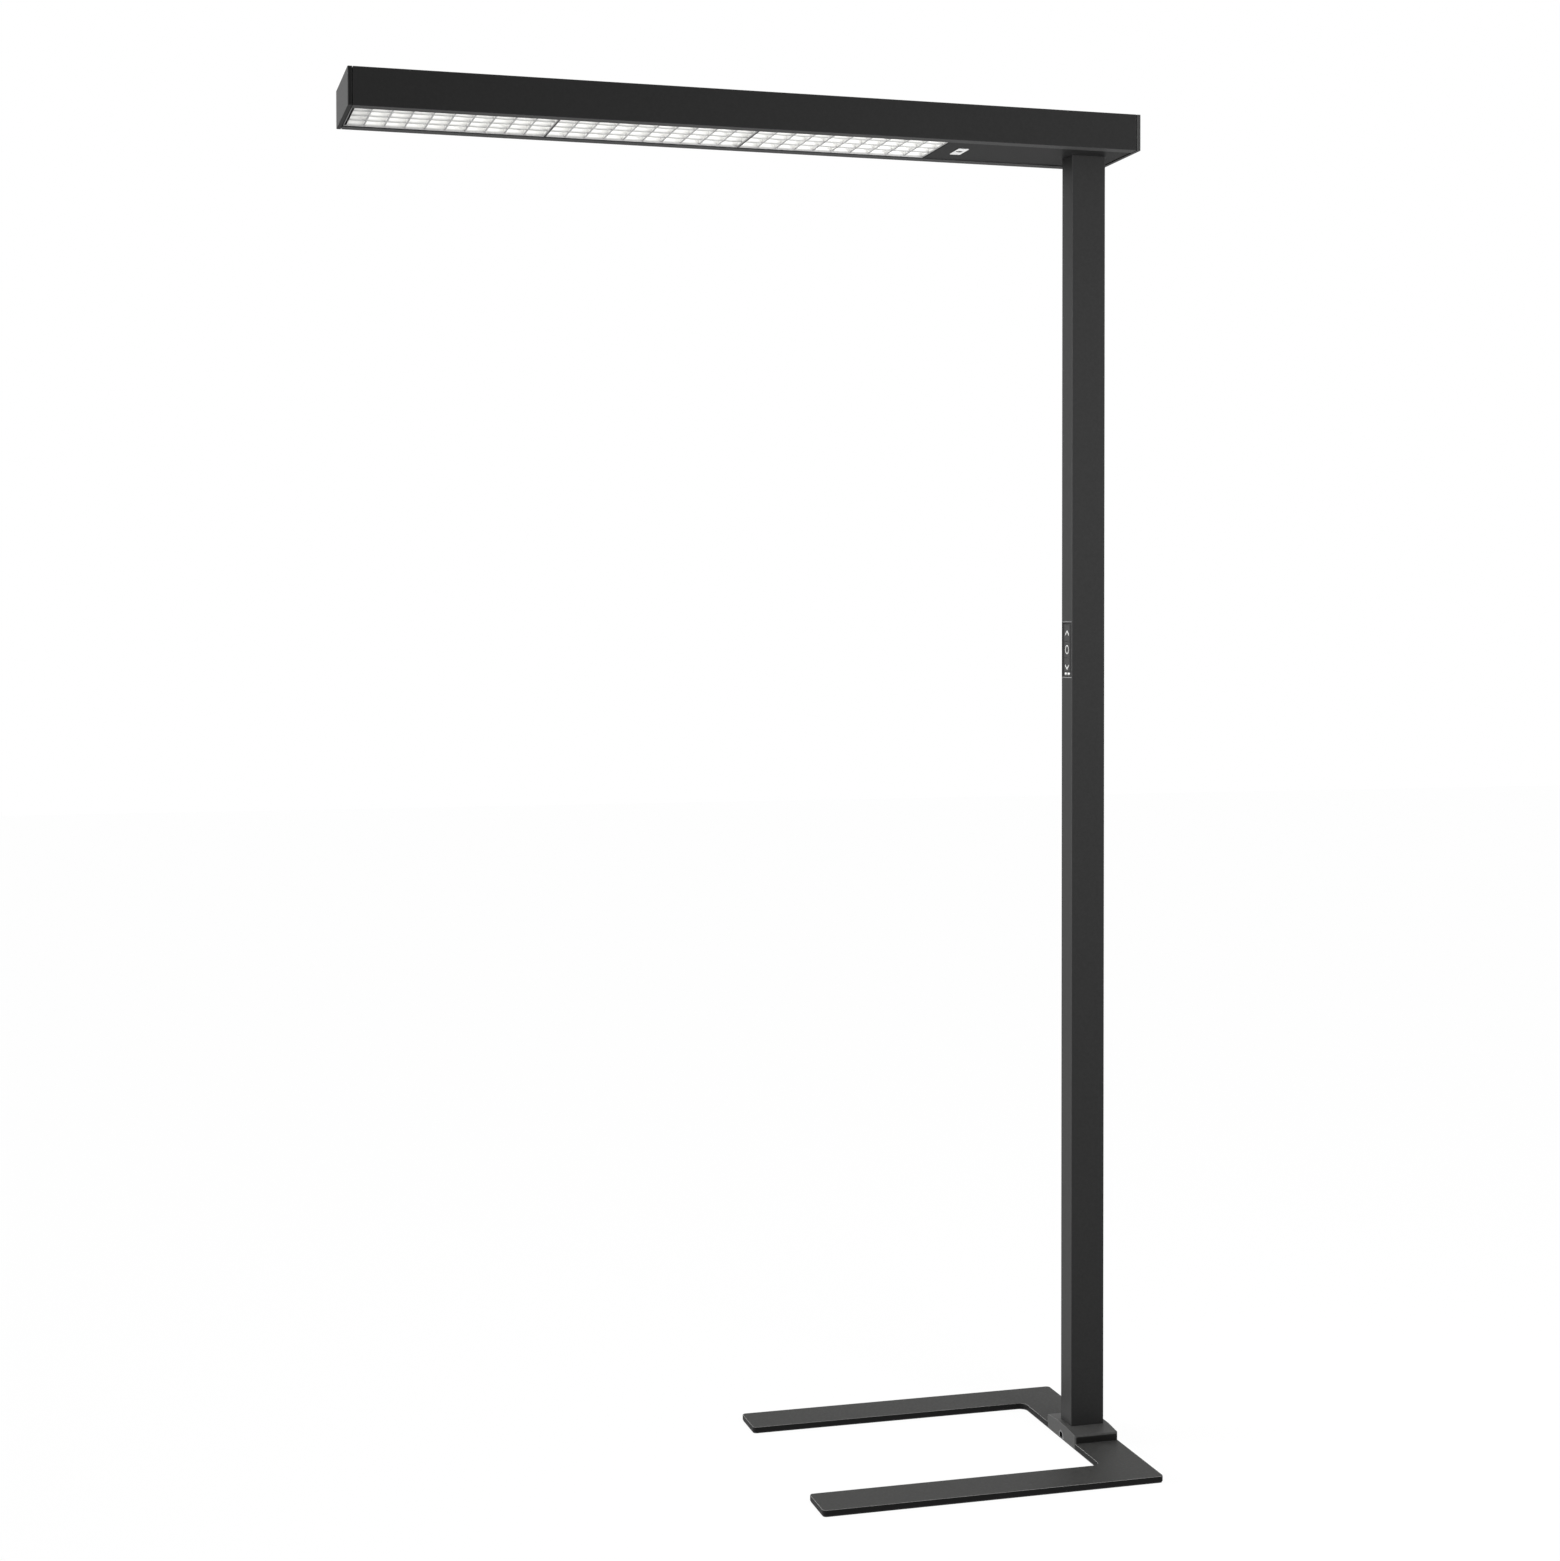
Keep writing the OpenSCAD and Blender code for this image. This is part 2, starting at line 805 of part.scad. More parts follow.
module led_driver()
    color("#d9dadb")
        translate([0, driver_y, head_z + web_z1])
            difference() {
                union() {
                    slab(driver_x0, driver_x1, -driver_w / 2, driver_w / 2, 0, driver_h);
                    slab(driver_x0 - ear, driver_x1 + ear, -6, 6, 0, 1.5);
                }
                for (x = [driver_x0 - ear / 2, driver_x1 + ear / 2])
                    translate([x, 0, -1])
                        cylinder(h = 4, d = m3 + bore_fit);
            }

module driver_screws()
    color("#9a9c9f")
        for (x = [driver_x0 - ear / 2, driver_x1 + ear / 2])
            translate([x, driver_y, head_z + web_z1 + 1.5])
                pan_screw(m3, 6);

module terminal_block()
    color("#e6e6e2")
        translate([cable_x, terminal_y, head_z + web_z1])
            difference() {
                slab(-2, terminal_l - 2, -terminal_w / 2, terminal_w / 2, 0, terminal_h);
                for (i = [0 : 2])
                    translate([6 + i * 8, 0, terminal_h - 4])
                        cylinder(h = 5, d = 4);
            }

module head_bracket()
    color("#8b8d90")
        translate([0, 0, head_z])
            difference() {
                translate([0, 0, bracket_z])
                    linear_extrude(web_z0 - bracket_z)
                        rrect(bracket_l, bracket_w, 3);
                // room over the plate that the pole is screwed to
                translate([0, 0, bracket_z + bracket_t])
                    linear_extrude(head_h)
                        square([pole_w + 3, bracket_w + 2], center = true);
                linear_extrude(head_h)
                    rrect(way_l, way_w, 4);
                linear_extrude(head_h) {
                    corners(channel_x, channel_y)
                        circle(d = 2 * channel_r);
                    corners(bracket_hole_x, bracket_hole_y)
                        circle(d = m5 + bore_fit);
                }
            }

module bracket_screws()
    color("#9a9c9f")
        translate([0, 0, head_z + web_z1])
            corners(bracket_hole_x, bracket_hole_y)
                pan_screw(m5, 18);

module pole_head_screws()
    color("#9a9c9f")
        translate([0, 0, pole_z1 + bracket_t])
            corners(channel_x, channel_y)
                pan_screw(2 * channel_r - bore_fit, bracket_t + 20);

base_liner();
base_plate();
base_shoe();
pole_foot();
base_screws();
foot_screws();
shoe_screws();
power_inlet();
inlet_pins();
supply_cable();
pole_tube();
control_housing();
control_plate();
key_up();
key_power();
key_down();
status_window();
control_board();
key_switches();
control_lead();
head_profile();
end_cap_left();
end_cap_right();
louvre_1();
louvre_2();
louvre_3();
louvre_diffuser();
down_boards();
down_leds();
up_boards();
up_leds();
top_diffuser();
top_cover();
underside_panel();
sensor_bezel();
sensor_lens();
sensor_board();
led_driver();
driver_screws();
terminal_block();
head_bracket();
bracket_screws();
pole_head_screws();
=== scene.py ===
import math

import bmesh
import bpy
from mathutils import Matrix, Vector


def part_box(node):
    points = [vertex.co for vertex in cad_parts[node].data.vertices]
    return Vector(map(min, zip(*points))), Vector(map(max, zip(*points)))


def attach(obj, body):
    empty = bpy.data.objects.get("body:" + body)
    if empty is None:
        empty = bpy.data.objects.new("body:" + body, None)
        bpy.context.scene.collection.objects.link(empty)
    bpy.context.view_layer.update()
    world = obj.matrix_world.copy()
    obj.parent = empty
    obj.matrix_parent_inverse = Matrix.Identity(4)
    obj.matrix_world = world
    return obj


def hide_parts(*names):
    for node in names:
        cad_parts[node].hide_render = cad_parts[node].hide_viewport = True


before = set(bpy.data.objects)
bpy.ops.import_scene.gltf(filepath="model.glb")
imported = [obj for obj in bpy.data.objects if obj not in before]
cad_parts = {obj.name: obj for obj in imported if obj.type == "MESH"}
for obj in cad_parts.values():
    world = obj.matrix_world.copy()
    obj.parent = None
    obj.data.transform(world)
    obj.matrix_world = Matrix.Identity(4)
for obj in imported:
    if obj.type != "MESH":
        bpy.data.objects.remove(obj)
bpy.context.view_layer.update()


# Camera: the photograph's view, from mid height, in front of the lamp and left of its pole.
# Place, turn and lens were solved from the lamp's straight edges in the 1560 x 1561 picture.
EYE = Vector((-1.4102, -3.3327, 1.1870))
TURN, PITCH, ROLL = 0.2727, -0.0193, -0.0012
PICTURE_W, PICTURE_H = 1560, 1561
FOCAL_PX, CENTRE_X_PX, CENTRE_Y_PX = 2421.3, 772.4, 687.9
SENSOR_MM = 36

ahead = Vector((math.sin(TURN) * math.cos(PITCH), math.cos(TURN) * math.cos(PITCH),
                math.sin(PITCH)))
right = Vector((math.cos(TURN), -math.sin(TURN), 0))
up = right.cross(ahead)
eye_turn = Matrix((right, up, -ahead)).transposed() @ Matrix.Rotation(ROLL, 3, "Z")

lens = bpy.data.cameras.new("camera")
lens.sensor_width = SENSOR_MM
lens.lens = FOCAL_PX / PICTURE_H * SENSOR_MM
lens.shift_x = (PICTURE_W / 2 - CENTRE_X_PX) / PICTURE_H
lens.shift_y = (CENTRE_Y_PX - PICTURE_H / 2) / PICTURE_H
lens.clip_end = 60
camera = bpy.data.objects.new("camera", lens)
camera.matrix_world = Matrix.Translation(EYE) @ eye_turn.to_4x4()
bpy.context.scene.collection.objects.link(camera)
bpy.context.scene.camera = camera
bpy.context.scene.view_settings.view_transform = "Standard"


# Studio: a white floor under a white sky, soft light from the left and above, and a weak panel
# in front of the pole, so that faces towards the camera are darkest low down and far left.
def feed(tree, socket, value):
    """Links an input to another node's output, or sets its value."""
    if isinstance(value, bpy.types.NodeSocket):
        tree.links.new(value, socket)
    else:
        socket.default_value = value


def put(tree, kind, settings=None, **inputs):
    """Adds a node, and feeds its inputs by their labels."""
    node = tree.nodes.new(kind)
    for label, value in (settings or {}).items():
        setattr(node, label, value)
    for label, value in inputs.items():
        feed(tree, node.inputs[label.replace("_", " ")], value)
    return node


def math_of(tree, operation, *values):
    """Result of a Math node."""
    node = put(tree, "ShaderNodeMath", {"operation": operation})
    for socket, value in zip(node.inputs, values):
        feed(tree, socket, value)
    return node.outputs[0]


def mix_shaders(tree, factor, first, second):
    """Shader between two others, by a factor."""
    mix = put(tree, "ShaderNodeMixShader", Fac=factor)
    tree.links.new(first.outputs[0], mix.inputs[1])
    tree.links.new(second.outputs[0], mix.inputs[2])
    return mix


def seen_directly(tree):
    """1 for rays that show the background itself: from the camera, a gloss or a glass."""
    path = put(tree, "ShaderNodeLightPath").outputs
    either = math_of(tree, "MAXIMUM", path["Is Camera Ray"], path["Is Glossy Ray"])
    return math_of(tree, "MAXIMUM", either, path["Is Transmission Ray"])


SKY_LEVEL = 0.12
WHITE = (1, 1, 1, 1)
sky = bpy.data.worlds.new("studio")
bpy.context.scene.world = sky
sky.use_nodes = True
tree = sky.node_tree
tree.nodes.clear()
light_sky = put(tree, "ShaderNodeBackground", Color=WHITE, Strength=SKY_LEVEL)
white_sky = put(tree, "ShaderNodeBackground", Color=WHITE, Strength=1.0)
mixed_sky = mix_shaders(tree, seen_directly(tree), light_sky, white_sky)
put(tree, "ShaderNodeOutputWorld", Surface=mixed_sky.outputs[0])

FLOOR_HALF = 14.0
FLOOR_SHADE = 0.08     # share of the floor's own shading that the camera sees
FLOOR_GLOW = 1.02      # white, and what that shading takes away from it
floor_mesh = bpy.data.meshes.new("studio_floor")
floor_mesh.from_pydata(
    [(x * FLOOR_HALF, y * FLOOR_HALF, 0) for x, y in ((-1, -1), (1, -1), (1, 1), (-1, 1))],
    [], [(0, 1, 2, 3)])
floor = bpy.data.objects.new("studio_floor", floor_mesh)
bpy.context.scene.collection.objects.link(floor)
floor_white = bpy.data.materials.new("floor_white")
floor_white.use_nodes = True
tree = floor_white.node_tree
tree.nodes.clear()
matt = put(tree, "ShaderNodeBsdfDiffuse", Color=(0.80, 0.80, 0.80, 1))
glow = put(tree, "ShaderNodeEmission", Color=WHITE, Strength=FLOOR_GLOW)
share = math_of(tree, "MULTIPLY", seen_directly(tree), 1 - FLOOR_SHADE)
lit = mix_shaders(tree, share, matt, glow)
from_below = put(tree, "ShaderNodeNewGeometry").outputs["Backfacing"]
clear = put(tree, "ShaderNodeBsdfTransparent")
below = mix_shaders(tree, from_below, lit, clear)
put(tree, "ShaderNodeOutputMaterial", Surface=below.outputs[0])
floor_mesh.materials.append(floor_white)


def lamp(name, kind, place, aim, power, **shape):
    """A studio lamp at a place, turned to a point."""
    data = bpy.data.lights.new(name, kind)
    data.energy = power
    for label, value in shape.items():
        setattr(data, label, value)
    body = bpy.data.objects.new(name, data)
    body.location = place
    way = Vector(aim) - Vector(place)
    body.rotation_euler = way.to_track_quat("-Z", "Y").to_euler()
    bpy.context.scene.collection.objects.link(body)
    return body


lamp("left_window", "SUN", (-6.0, 1.2, 2.4), (0, 0, 1.0), 2.75, angle=math.radians(30))
lamp("top_softbox", "SUN", (-1.0, 0.4, 6.0), (0, 0, 0), 1.6, angle=math.radians(60))
front_panel = lamp("front_panel", "AREA", (0.3, -1.45, 1.5), (0.1, 0, 1.45), 23.5,
                   shape="RECTANGLE", size=0.7, size_y=0.5)
front_panel.visible_camera = False
front_panel.visible_glossy = False


# Liner: a thin black rubber sheet under the whole base, drawn in from its edge.
# It is glued to the plate and keeps the floor from scratches.
mm = 0.001


def shader_of(made):
    """Node tree and Principled shader of a finish."""
    return made.node_tree, made.node_tree.nodes["Principled BSDF"]


def material(name, colour, roughness, **sockets):
    """A finish on the Principled shader, with its constants on the shader's own sockets."""
    made = bpy.data.materials.new(name)
    made.use_nodes = True
    shader = shader_of(made)[1]
    shader.inputs["Base Color"].default_value = (*colour, 1)
    shader.inputs["Roughness"].default_value = roughness
    for label, value in sockets.items():
        shader.inputs[label.replace("_", " ")].default_value = value
    return made


def place_on(tree):
    """Coordinates that are fixed to the piece."""
    return put(tree, "ShaderNodeTexCoord").outputs["Object"]


def vary(made, size, amount):
    """Mottles a finish's colour and roughness with noise of a given size in metres."""
    tree, shader = shader_of(made)
    noise = put(tree, "ShaderNodeTexNoise", Vector=place_on(tree), Scale=1 / size, Detail=3.0)
    factor = noise.outputs["Fac"]
    colour = Vector(shader.inputs["Base Color"].default_value[:3])
    tones = put(tree, "ShaderNodeValToRGB", Fac=factor)
    stops = tones.color_ramp.elements
    for stop, place, level in zip(stops, (0.25, 0.75), (1 - amount, 1 + amount)):
        stop.position = place
        stop.color = (*(colour * level), 1)
    tree.links.new(tones.outputs["Color"], shader.inputs["Base Color"])
    rough = shader.inputs["Roughness"].default_value
    spread = put(tree, "ShaderNodeMapRange", Value=factor, To_Min=rough * (1 - amount),
                 To_Max=min(1, rough * (1 + amount)))
    tree.links.new(spread.outputs[0], shader.inputs["Roughness"])
    return made


def grain(made, size, depth, stretch=(1, 1, 1)):
    """Adds a fine relief of a given size and depth in metres to a finish."""
    tree, shader = shader_of(made)
    drawn_out = put(tree, "ShaderNodeMapping", Vector=place_on(tree), Scale=stretch).outputs[0]
    noise = put(tree, "ShaderNodeTexNoise", Vector=drawn_out, Scale=1 / size, Detail=2.0)
    relief = put(tree, "ShaderNodeBump", Strength=1.0, Distance=depth,
                 Height=noise.outputs["Fac"])
    tree.links.new(relief.outputs[0], shader.inputs["Normal"])
    return made


def finish_node(node, made):
    """Gives a CAD node its finish."""
    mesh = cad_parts[node].data
    mesh.materials.clear()
    mesh.materials.append(made)


rubber = grain(vary(material("rubber", (0.018, 0.018, 0.018), 0.75), 20 * mm, 0.2),
               1.2 * mm, 0.08 * mm)
finish_node("base_liner", rubber)


# Base plate: one U of 8 mm steel, laser cut and powder coated dark grey with a fine grain.
# Its edges are eased; its sides are painted nearly black as painted shade, and its eased upper
# edges light grey as a painted highlight.
def arc_corners(corners, steps=10):
    """Outline through corners (x, y, radius), with each corner turned into an arc."""
    outline = []
    count = len(corners)
    for i, (x, y, radius) in enumerate(corners):
        here = Vector((x, y))
        if radius == 0:
            outline.append(here)
            continue
        back = (Vector(corners[i - 1][:2]) - here).normalized()
        on = (Vector(corners[(i + 1) % count][:2]) - here).normalized()
        half = back.angle(on) / 2
        start = here + back * (radius / math.tan(half))
        centre = here + (back + on).normalized() * (radius / math.sin(half))
        sweep = (math.pi - 2 * half) * (1 if back.cross(on) < 0 else -1)
        for k in range(steps + 1):
            outline.append(centre + Matrix.Rotation(sweep * k / steps, 2) @ (start - centre))
    return outline


def prism(name, outline, low, high, axes="XYZ"):
    """Closed solid: an outline in the first two axes, from low to high along the third."""
    first, second, third = ("XYZ".index(a) for a in axes)
    bm = bmesh.new()
    rings = []
    for level in (low, high):
        ring = []
        for p in outline:
            spot = [0, 0, 0]
            spot[first], spot[second], spot[third] = p[0], p[1], level
            ring.append(bm.verts.new(spot))
        rings.append(ring)
    bm.faces.new(rings[0])
    bm.faces.new(rings[1])
    count = len(outline)
    for i in range(count):
        j = (i + 1) % count
        bm.faces.new((rings[0][i], rings[0][j], rings[1][j], rings[1][i]))
    bmesh.ops.recalc_face_normals(bm, faces=bm.faces)
    mesh = bpy.data.meshes.new(name)
    bm.to_mesh(mesh)
    bm.free()
    return add_piece(name, mesh)


def add_piece(name, mesh):
    """Object with a mesh, at the origin."""
    piece = bpy.data.objects.new(name, mesh)
    bpy.context.scene.collection.objects.link(piece)
    return piece


def apply_modifiers(piece):
    """Turns the piece's modifiers into plain mesh."""
    shapes = bpy.context.evaluated_depsgraph_get()
    made = bpy.data.meshes.new_from_object(piece.evaluated_get(shapes))
    made.name = piece.name
    piece.modifiers.clear()
    piece.data = made
    return piece


def ease(piece, width, segments=3):
    """Rounds the sharp edges of a piece, and shades it smooth between them."""
    for face in piece.data.polygons:
        face.use_smooth = True
    bevel = piece.modifiers.new("ease", "BEVEL")
    bevel.width = width
    bevel.segments = segments
    bevel.limit_method = "ANGLE"
    bevel.angle_limit = math.radians(35)
    bevel.miter_outer = "MITER_ARC"
    even = piece.modifiers.new("even", "WEIGHTED_NORMAL")
    even.weight = 100
    return apply_modifiers(piece)


def cut(piece, cutter):
    """Cuts a piece with another, which is then deleted."""
    boolean = piece.modifiers.new("cut", "BOOLEAN")
    boolean.operation = "DIFFERENCE"
    boolean.solver = "EXACT"
    boolean.object = cutter
    apply_modifiers(piece)
    bpy.data.objects.remove(cutter)
    return piece


def settle(piece, made, slot, body, *nodes):
    """Gives a piece its finish and body, and hides the CAD nodes it stands for."""
    piece.data.materials.clear()
    piece.data.materials.append(made)
    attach(piece, body)
    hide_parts(*nodes)
    return piece


def paint_faces(piece, made, chosen):
    """Gives another finish to the faces chosen by their normal and centre."""
    piece.data.materials.append(made)
    for face in piece.data.polygons:
        if chosen(face.normal, face.center):
            face.material_index = len(piece.data.materials) - 1


def mix_colours(tree, factor, first, second, blend="MIX"):
    """Colour made of two others, by a factor: inputs 6 and 7 of the node are its colours."""
    mix = put(tree, "ShaderNodeMix", {"data_type": "RGBA", "blend_type": blend})
    for number, value in ((0, factor), (6, first), (7, second)):
        feed(tree, mix.inputs[number], value)
    return mix.outputs[2]


def powder_coat(name, colour, roughness, edge_highlight=0.9, shine=0.12, speckle=0.08,
                relief=(1.1 * mm, 0.04 * mm)):
    """Powder coat: fine orange peel and speckle, and a painted highlight along its edges."""
    coated = material(name, colour, roughness, Specular_IOR_Level=shine)
    made = grain(vary(coated, 3.5 * mm, speckle), *relief)
    tree, shader = shader_of(made)
    soft = put(tree, "ShaderNodeBevel", {"samples": 4}, Radius=1.2 * mm)
    plain = put(tree, "ShaderNodeNewGeometry")
    off = put(tree, "ShaderNodeVectorMath", {"operation": "DOT_PRODUCT"})
    tree.links.new(soft.outputs[0], off.inputs[0])
    tree.links.new(plain.outputs["Normal"], off.inputs[1])
    # Painted highlight: the colour turns lighter near the edges that the Bevel node finds.
    edge = put(tree, "ShaderNodeMapRange", Value=off.outputs["Value"], From_Min=0.99,
               From_Max=0.80, To_Min=0.0, To_Max=edge_highlight)
    coat = shader.inputs["Base Color"].links[0].from_socket
    highlight_colour = (*(min(1, 2.6 * c + 0.02) for c in colour), 1)
    tree.links.new(mix_colours(tree, edge.outputs[0], coat, highlight_colour), shader.inputs["Base Color"])
    return made


plate_low, plate_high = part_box("base_plate")
shoe_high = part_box("base_shoe")[1]
LEG_W = plate_high.x * 2
TIP_R, INNER_R = 6 * mm, 12 * mm
SKIRT_SEAT = 2.6 * mm
SEAT_HALF = shoe_high.y + 0.2 * mm
SLOT_HALF, SLOT_END = 10 * mm, -8.8 * mm
upper_half = [
    (SLOT_END, SLOT_HALF, 0), (-plate_high.x + SKIRT_SEAT, SLOT_HALF, 0),
    (-plate_high.x + SKIRT_SEAT, SEAT_HALF, 0), (-plate_high.x, SEAT_HALF, 0),
    (-plate_high.x, plate_high.y - LEG_W, INNER_R),
    (plate_low.x, plate_high.y - LEG_W, TIP_R), (plate_low.x, plate_high.y, TIP_R),
    (plate_high.x, plate_high.y, TIP_R)]
lower_half = [(x, -y, r) for x, y, r in reversed(upper_half)]
base = prism("base_plate_eased", arc_corners(upper_half + lower_half),
             plate_low.z, plate_high.z)
ease(base, 0.8 * mm)
base_coat = powder_coat("base_coat", (0.0297, 0.0297, 0.0287), 0.55, speckle=0.5,
                        relief=(1.6 * mm, 0.09 * mm))
side_painted_shade = powder_coat("plate_side_painted_shade", (0.006, 0.006, 0.006), 0.6, edge_highlight=0.5)
plate_edge_highlight = powder_coat("plate_edge_highlight", (0.24, 0.24, 0.235), 0.55)
settle(base, base_coat, "steel_paint", "lamp", "base_plate")
# Painted shade on the plate's sides, and a painted highlight on its upper eased edges.
paint_faces(base, side_painted_shade, lambda normal, centre: -0.95 < normal.z < 0.4)
paint_faces(base, plate_edge_highlight, lambda normal, centre: 0.4 <= normal.z < 0.95)


# Shoe: a die-cast cover over the pole's foot, in the colour of the base. Its skirt hangs
# over the crossbar's inner side, and an arch in the skirt leaves room for the inlet.
def eased_copy(node, width, made, slot, body="lamp"):
    """Copy of a CAD node with clean faces and eased edges, which stands for the node."""
    bm = bmesh.new()
    bm.from_mesh(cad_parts[node].data)
    bmesh.ops.remove_doubles(bm, verts=bm.verts, dist=0.002 * mm)
    bmesh.ops.dissolve_limit(bm, angle_limit=math.radians(0.5), verts=bm.verts,
                             edges=bm.edges, delimit={"NORMAL"})
    mesh = bpy.data.meshes.new(node + "_eased")
    bm.to_mesh(mesh)
    bm.free()
    piece = add_piece(node + "_eased", mesh)
    if width > 0:
        ease(piece, width)
    return settle(piece, made, slot, body, node)


shoe_coat = powder_coat("shoe_coat", (0.054, 0.054, 0.053), 0.5, speckle=0.15)
shoe_end_shade = powder_coat("shoe_end_shade", (0.012, 0.012, 0.0115), 0.5)
shoe = eased_copy("base_shoe", 0.35 * mm, shoe_coat, "cast_paint")
# The shoe's two ends, front and back, are painted darker: painted shade.
paint_faces(shoe, shoe_end_shade, lambda normal, centre: abs(normal.y) > 0.9)


# Inlet: a moulded socket for the supply cord's plug, with a collar that fills the arch,
# and three brass pins inside.
def moulded(name, colour, roughness=0.42, size=0.7 * mm, depth=0.03 * mm, **sockets):
    """Moulded plastic with a fine spark-eroded grain."""
    return grain(vary(material(name, colour, roughness, **sockets), 10 * mm, 0.05), size, depth)


inlet_plastic = moulded("inlet_plastic", (0.085, 0.085, 0.088))
inlet = eased_copy("power_inlet", 0.25 * mm, inlet_plastic, "inlet_plastic")
# Near black for hollows and gaps where only shade falls: painted shade in the inlet's mouth, the
# pole's recess and the caps' gaps.
painted_shade_black = moulded("painted_shade_black", (0.004, 0.004, 0.004), 0.7, Specular_IOR_Level=0.02)
inlet_low, inlet_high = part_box("power_inlet")
COLLAR_HALF = 5.2 * mm
# The inside of the socket's mouth is painted near black: painted shade.
paint_faces(inlet, painted_shade_black, lambda normal, centre: abs(centre.y) < COLLAR_HALF
            and inlet_low.x + 0.3 * mm < centre.x < inlet_high.x - 3 * mm)
brass = grain(vary(material("brass", (0.72, 0.55, 0.25), 0.28, Metallic=1.0), 2 * mm, 0.1),
              0.4 * mm, 0.01 * mm, stretch=(1, 12, 12))
finish_node("inlet_pins", brass)


# Pole foot and head bracket: blocks of cast aluminium that the pole is screwed to, at the
# bottom over the plate and at the top under the head's web.
cast = grain(vary(material("cast_aluminium", (0.56, 0.57, 0.58), 0.42, Metallic=1.0),
                  4 * mm, 0.1), 0.8 * mm, 0.06 * mm)
eased_copy("pole_foot", 0.4 * mm, cast, "bracket_metal")
eased_copy("head_bracket", 0.4 * mm, cast, "bracket_metal")


# Screws: zinc plated steel, countersunk in the base and round headed in the lamp's head, all
# with a hexagon socket. Each group is one pattern of points with a screw on each.
def new_tree(name, sizes):
    """Empty geometry tree with named inputs; returns the tree and its sockets by name."""
    tree = bpy.data.node_groups.new(name, "GeometryNodeTree")
    for label, value in sizes.items():
        kind = "NodeSocketInt" if isinstance(value, int) else "NodeSocketFloat"
        tree.interface.new_socket(label, in_out="INPUT", socket_type=kind)
    tree.interface.new_socket("Geometry", in_out="OUTPUT", socket_type="NodeSocketGeometry")
    given = tree.nodes.new("NodeGroupInput")
    return tree, {label: given.outputs[label] for label in sizes}


def close_tree(tree, shape, made):
    """Ends a tree with real geometry in one finish."""
    real = put(tree, "GeometryNodeRealizeInstances", Geometry=shape)
    finished = put(tree, "GeometryNodeSetMaterial", Geometry=real.outputs[0], Material=made)
    out = tree.nodes.new("NodeGroupOutput")
    tree.links.new(finished.outputs[0], out.inputs[0])
    return tree


def grow(name, tree, sizes):
    """Plain mesh grown by a tree with the given sizes."""
    piece = add_piece(name, bpy.data.meshes.new(name))
    growth = piece.modifiers.new("growth", "NODES")
    growth.node_group = tree
    for item in tree.interface.items_tree:
        if item.in_out == "INPUT":
            growth[item.identifier] = sizes[item.name]
    return apply_modifiers(piece)


def xyz(tree, x=0.0, y=0.0, z=0.0):
    """Vector of three numbers or sockets."""
    return put(tree, "ShaderNodeCombineXYZ", X=x, Y=y, Z=z).outputs[0]


zinc = grain(vary(material("zinc_steel", (0.55, 0.56, 0.58), 0.3, Metallic=1.0), 3 * mm, 0.12),
             0.5 * mm, 0.01 * mm)
SCREW_SIZES = {"Pitch X": 0.0, "Pitch Y": 0.0, "Middle X": 0.0, "Middle Y": 0.0, "Level": 0.0,
               "Diameter": 0.0, "Length": 0.0, "Columns": 2, "Rows": 2}


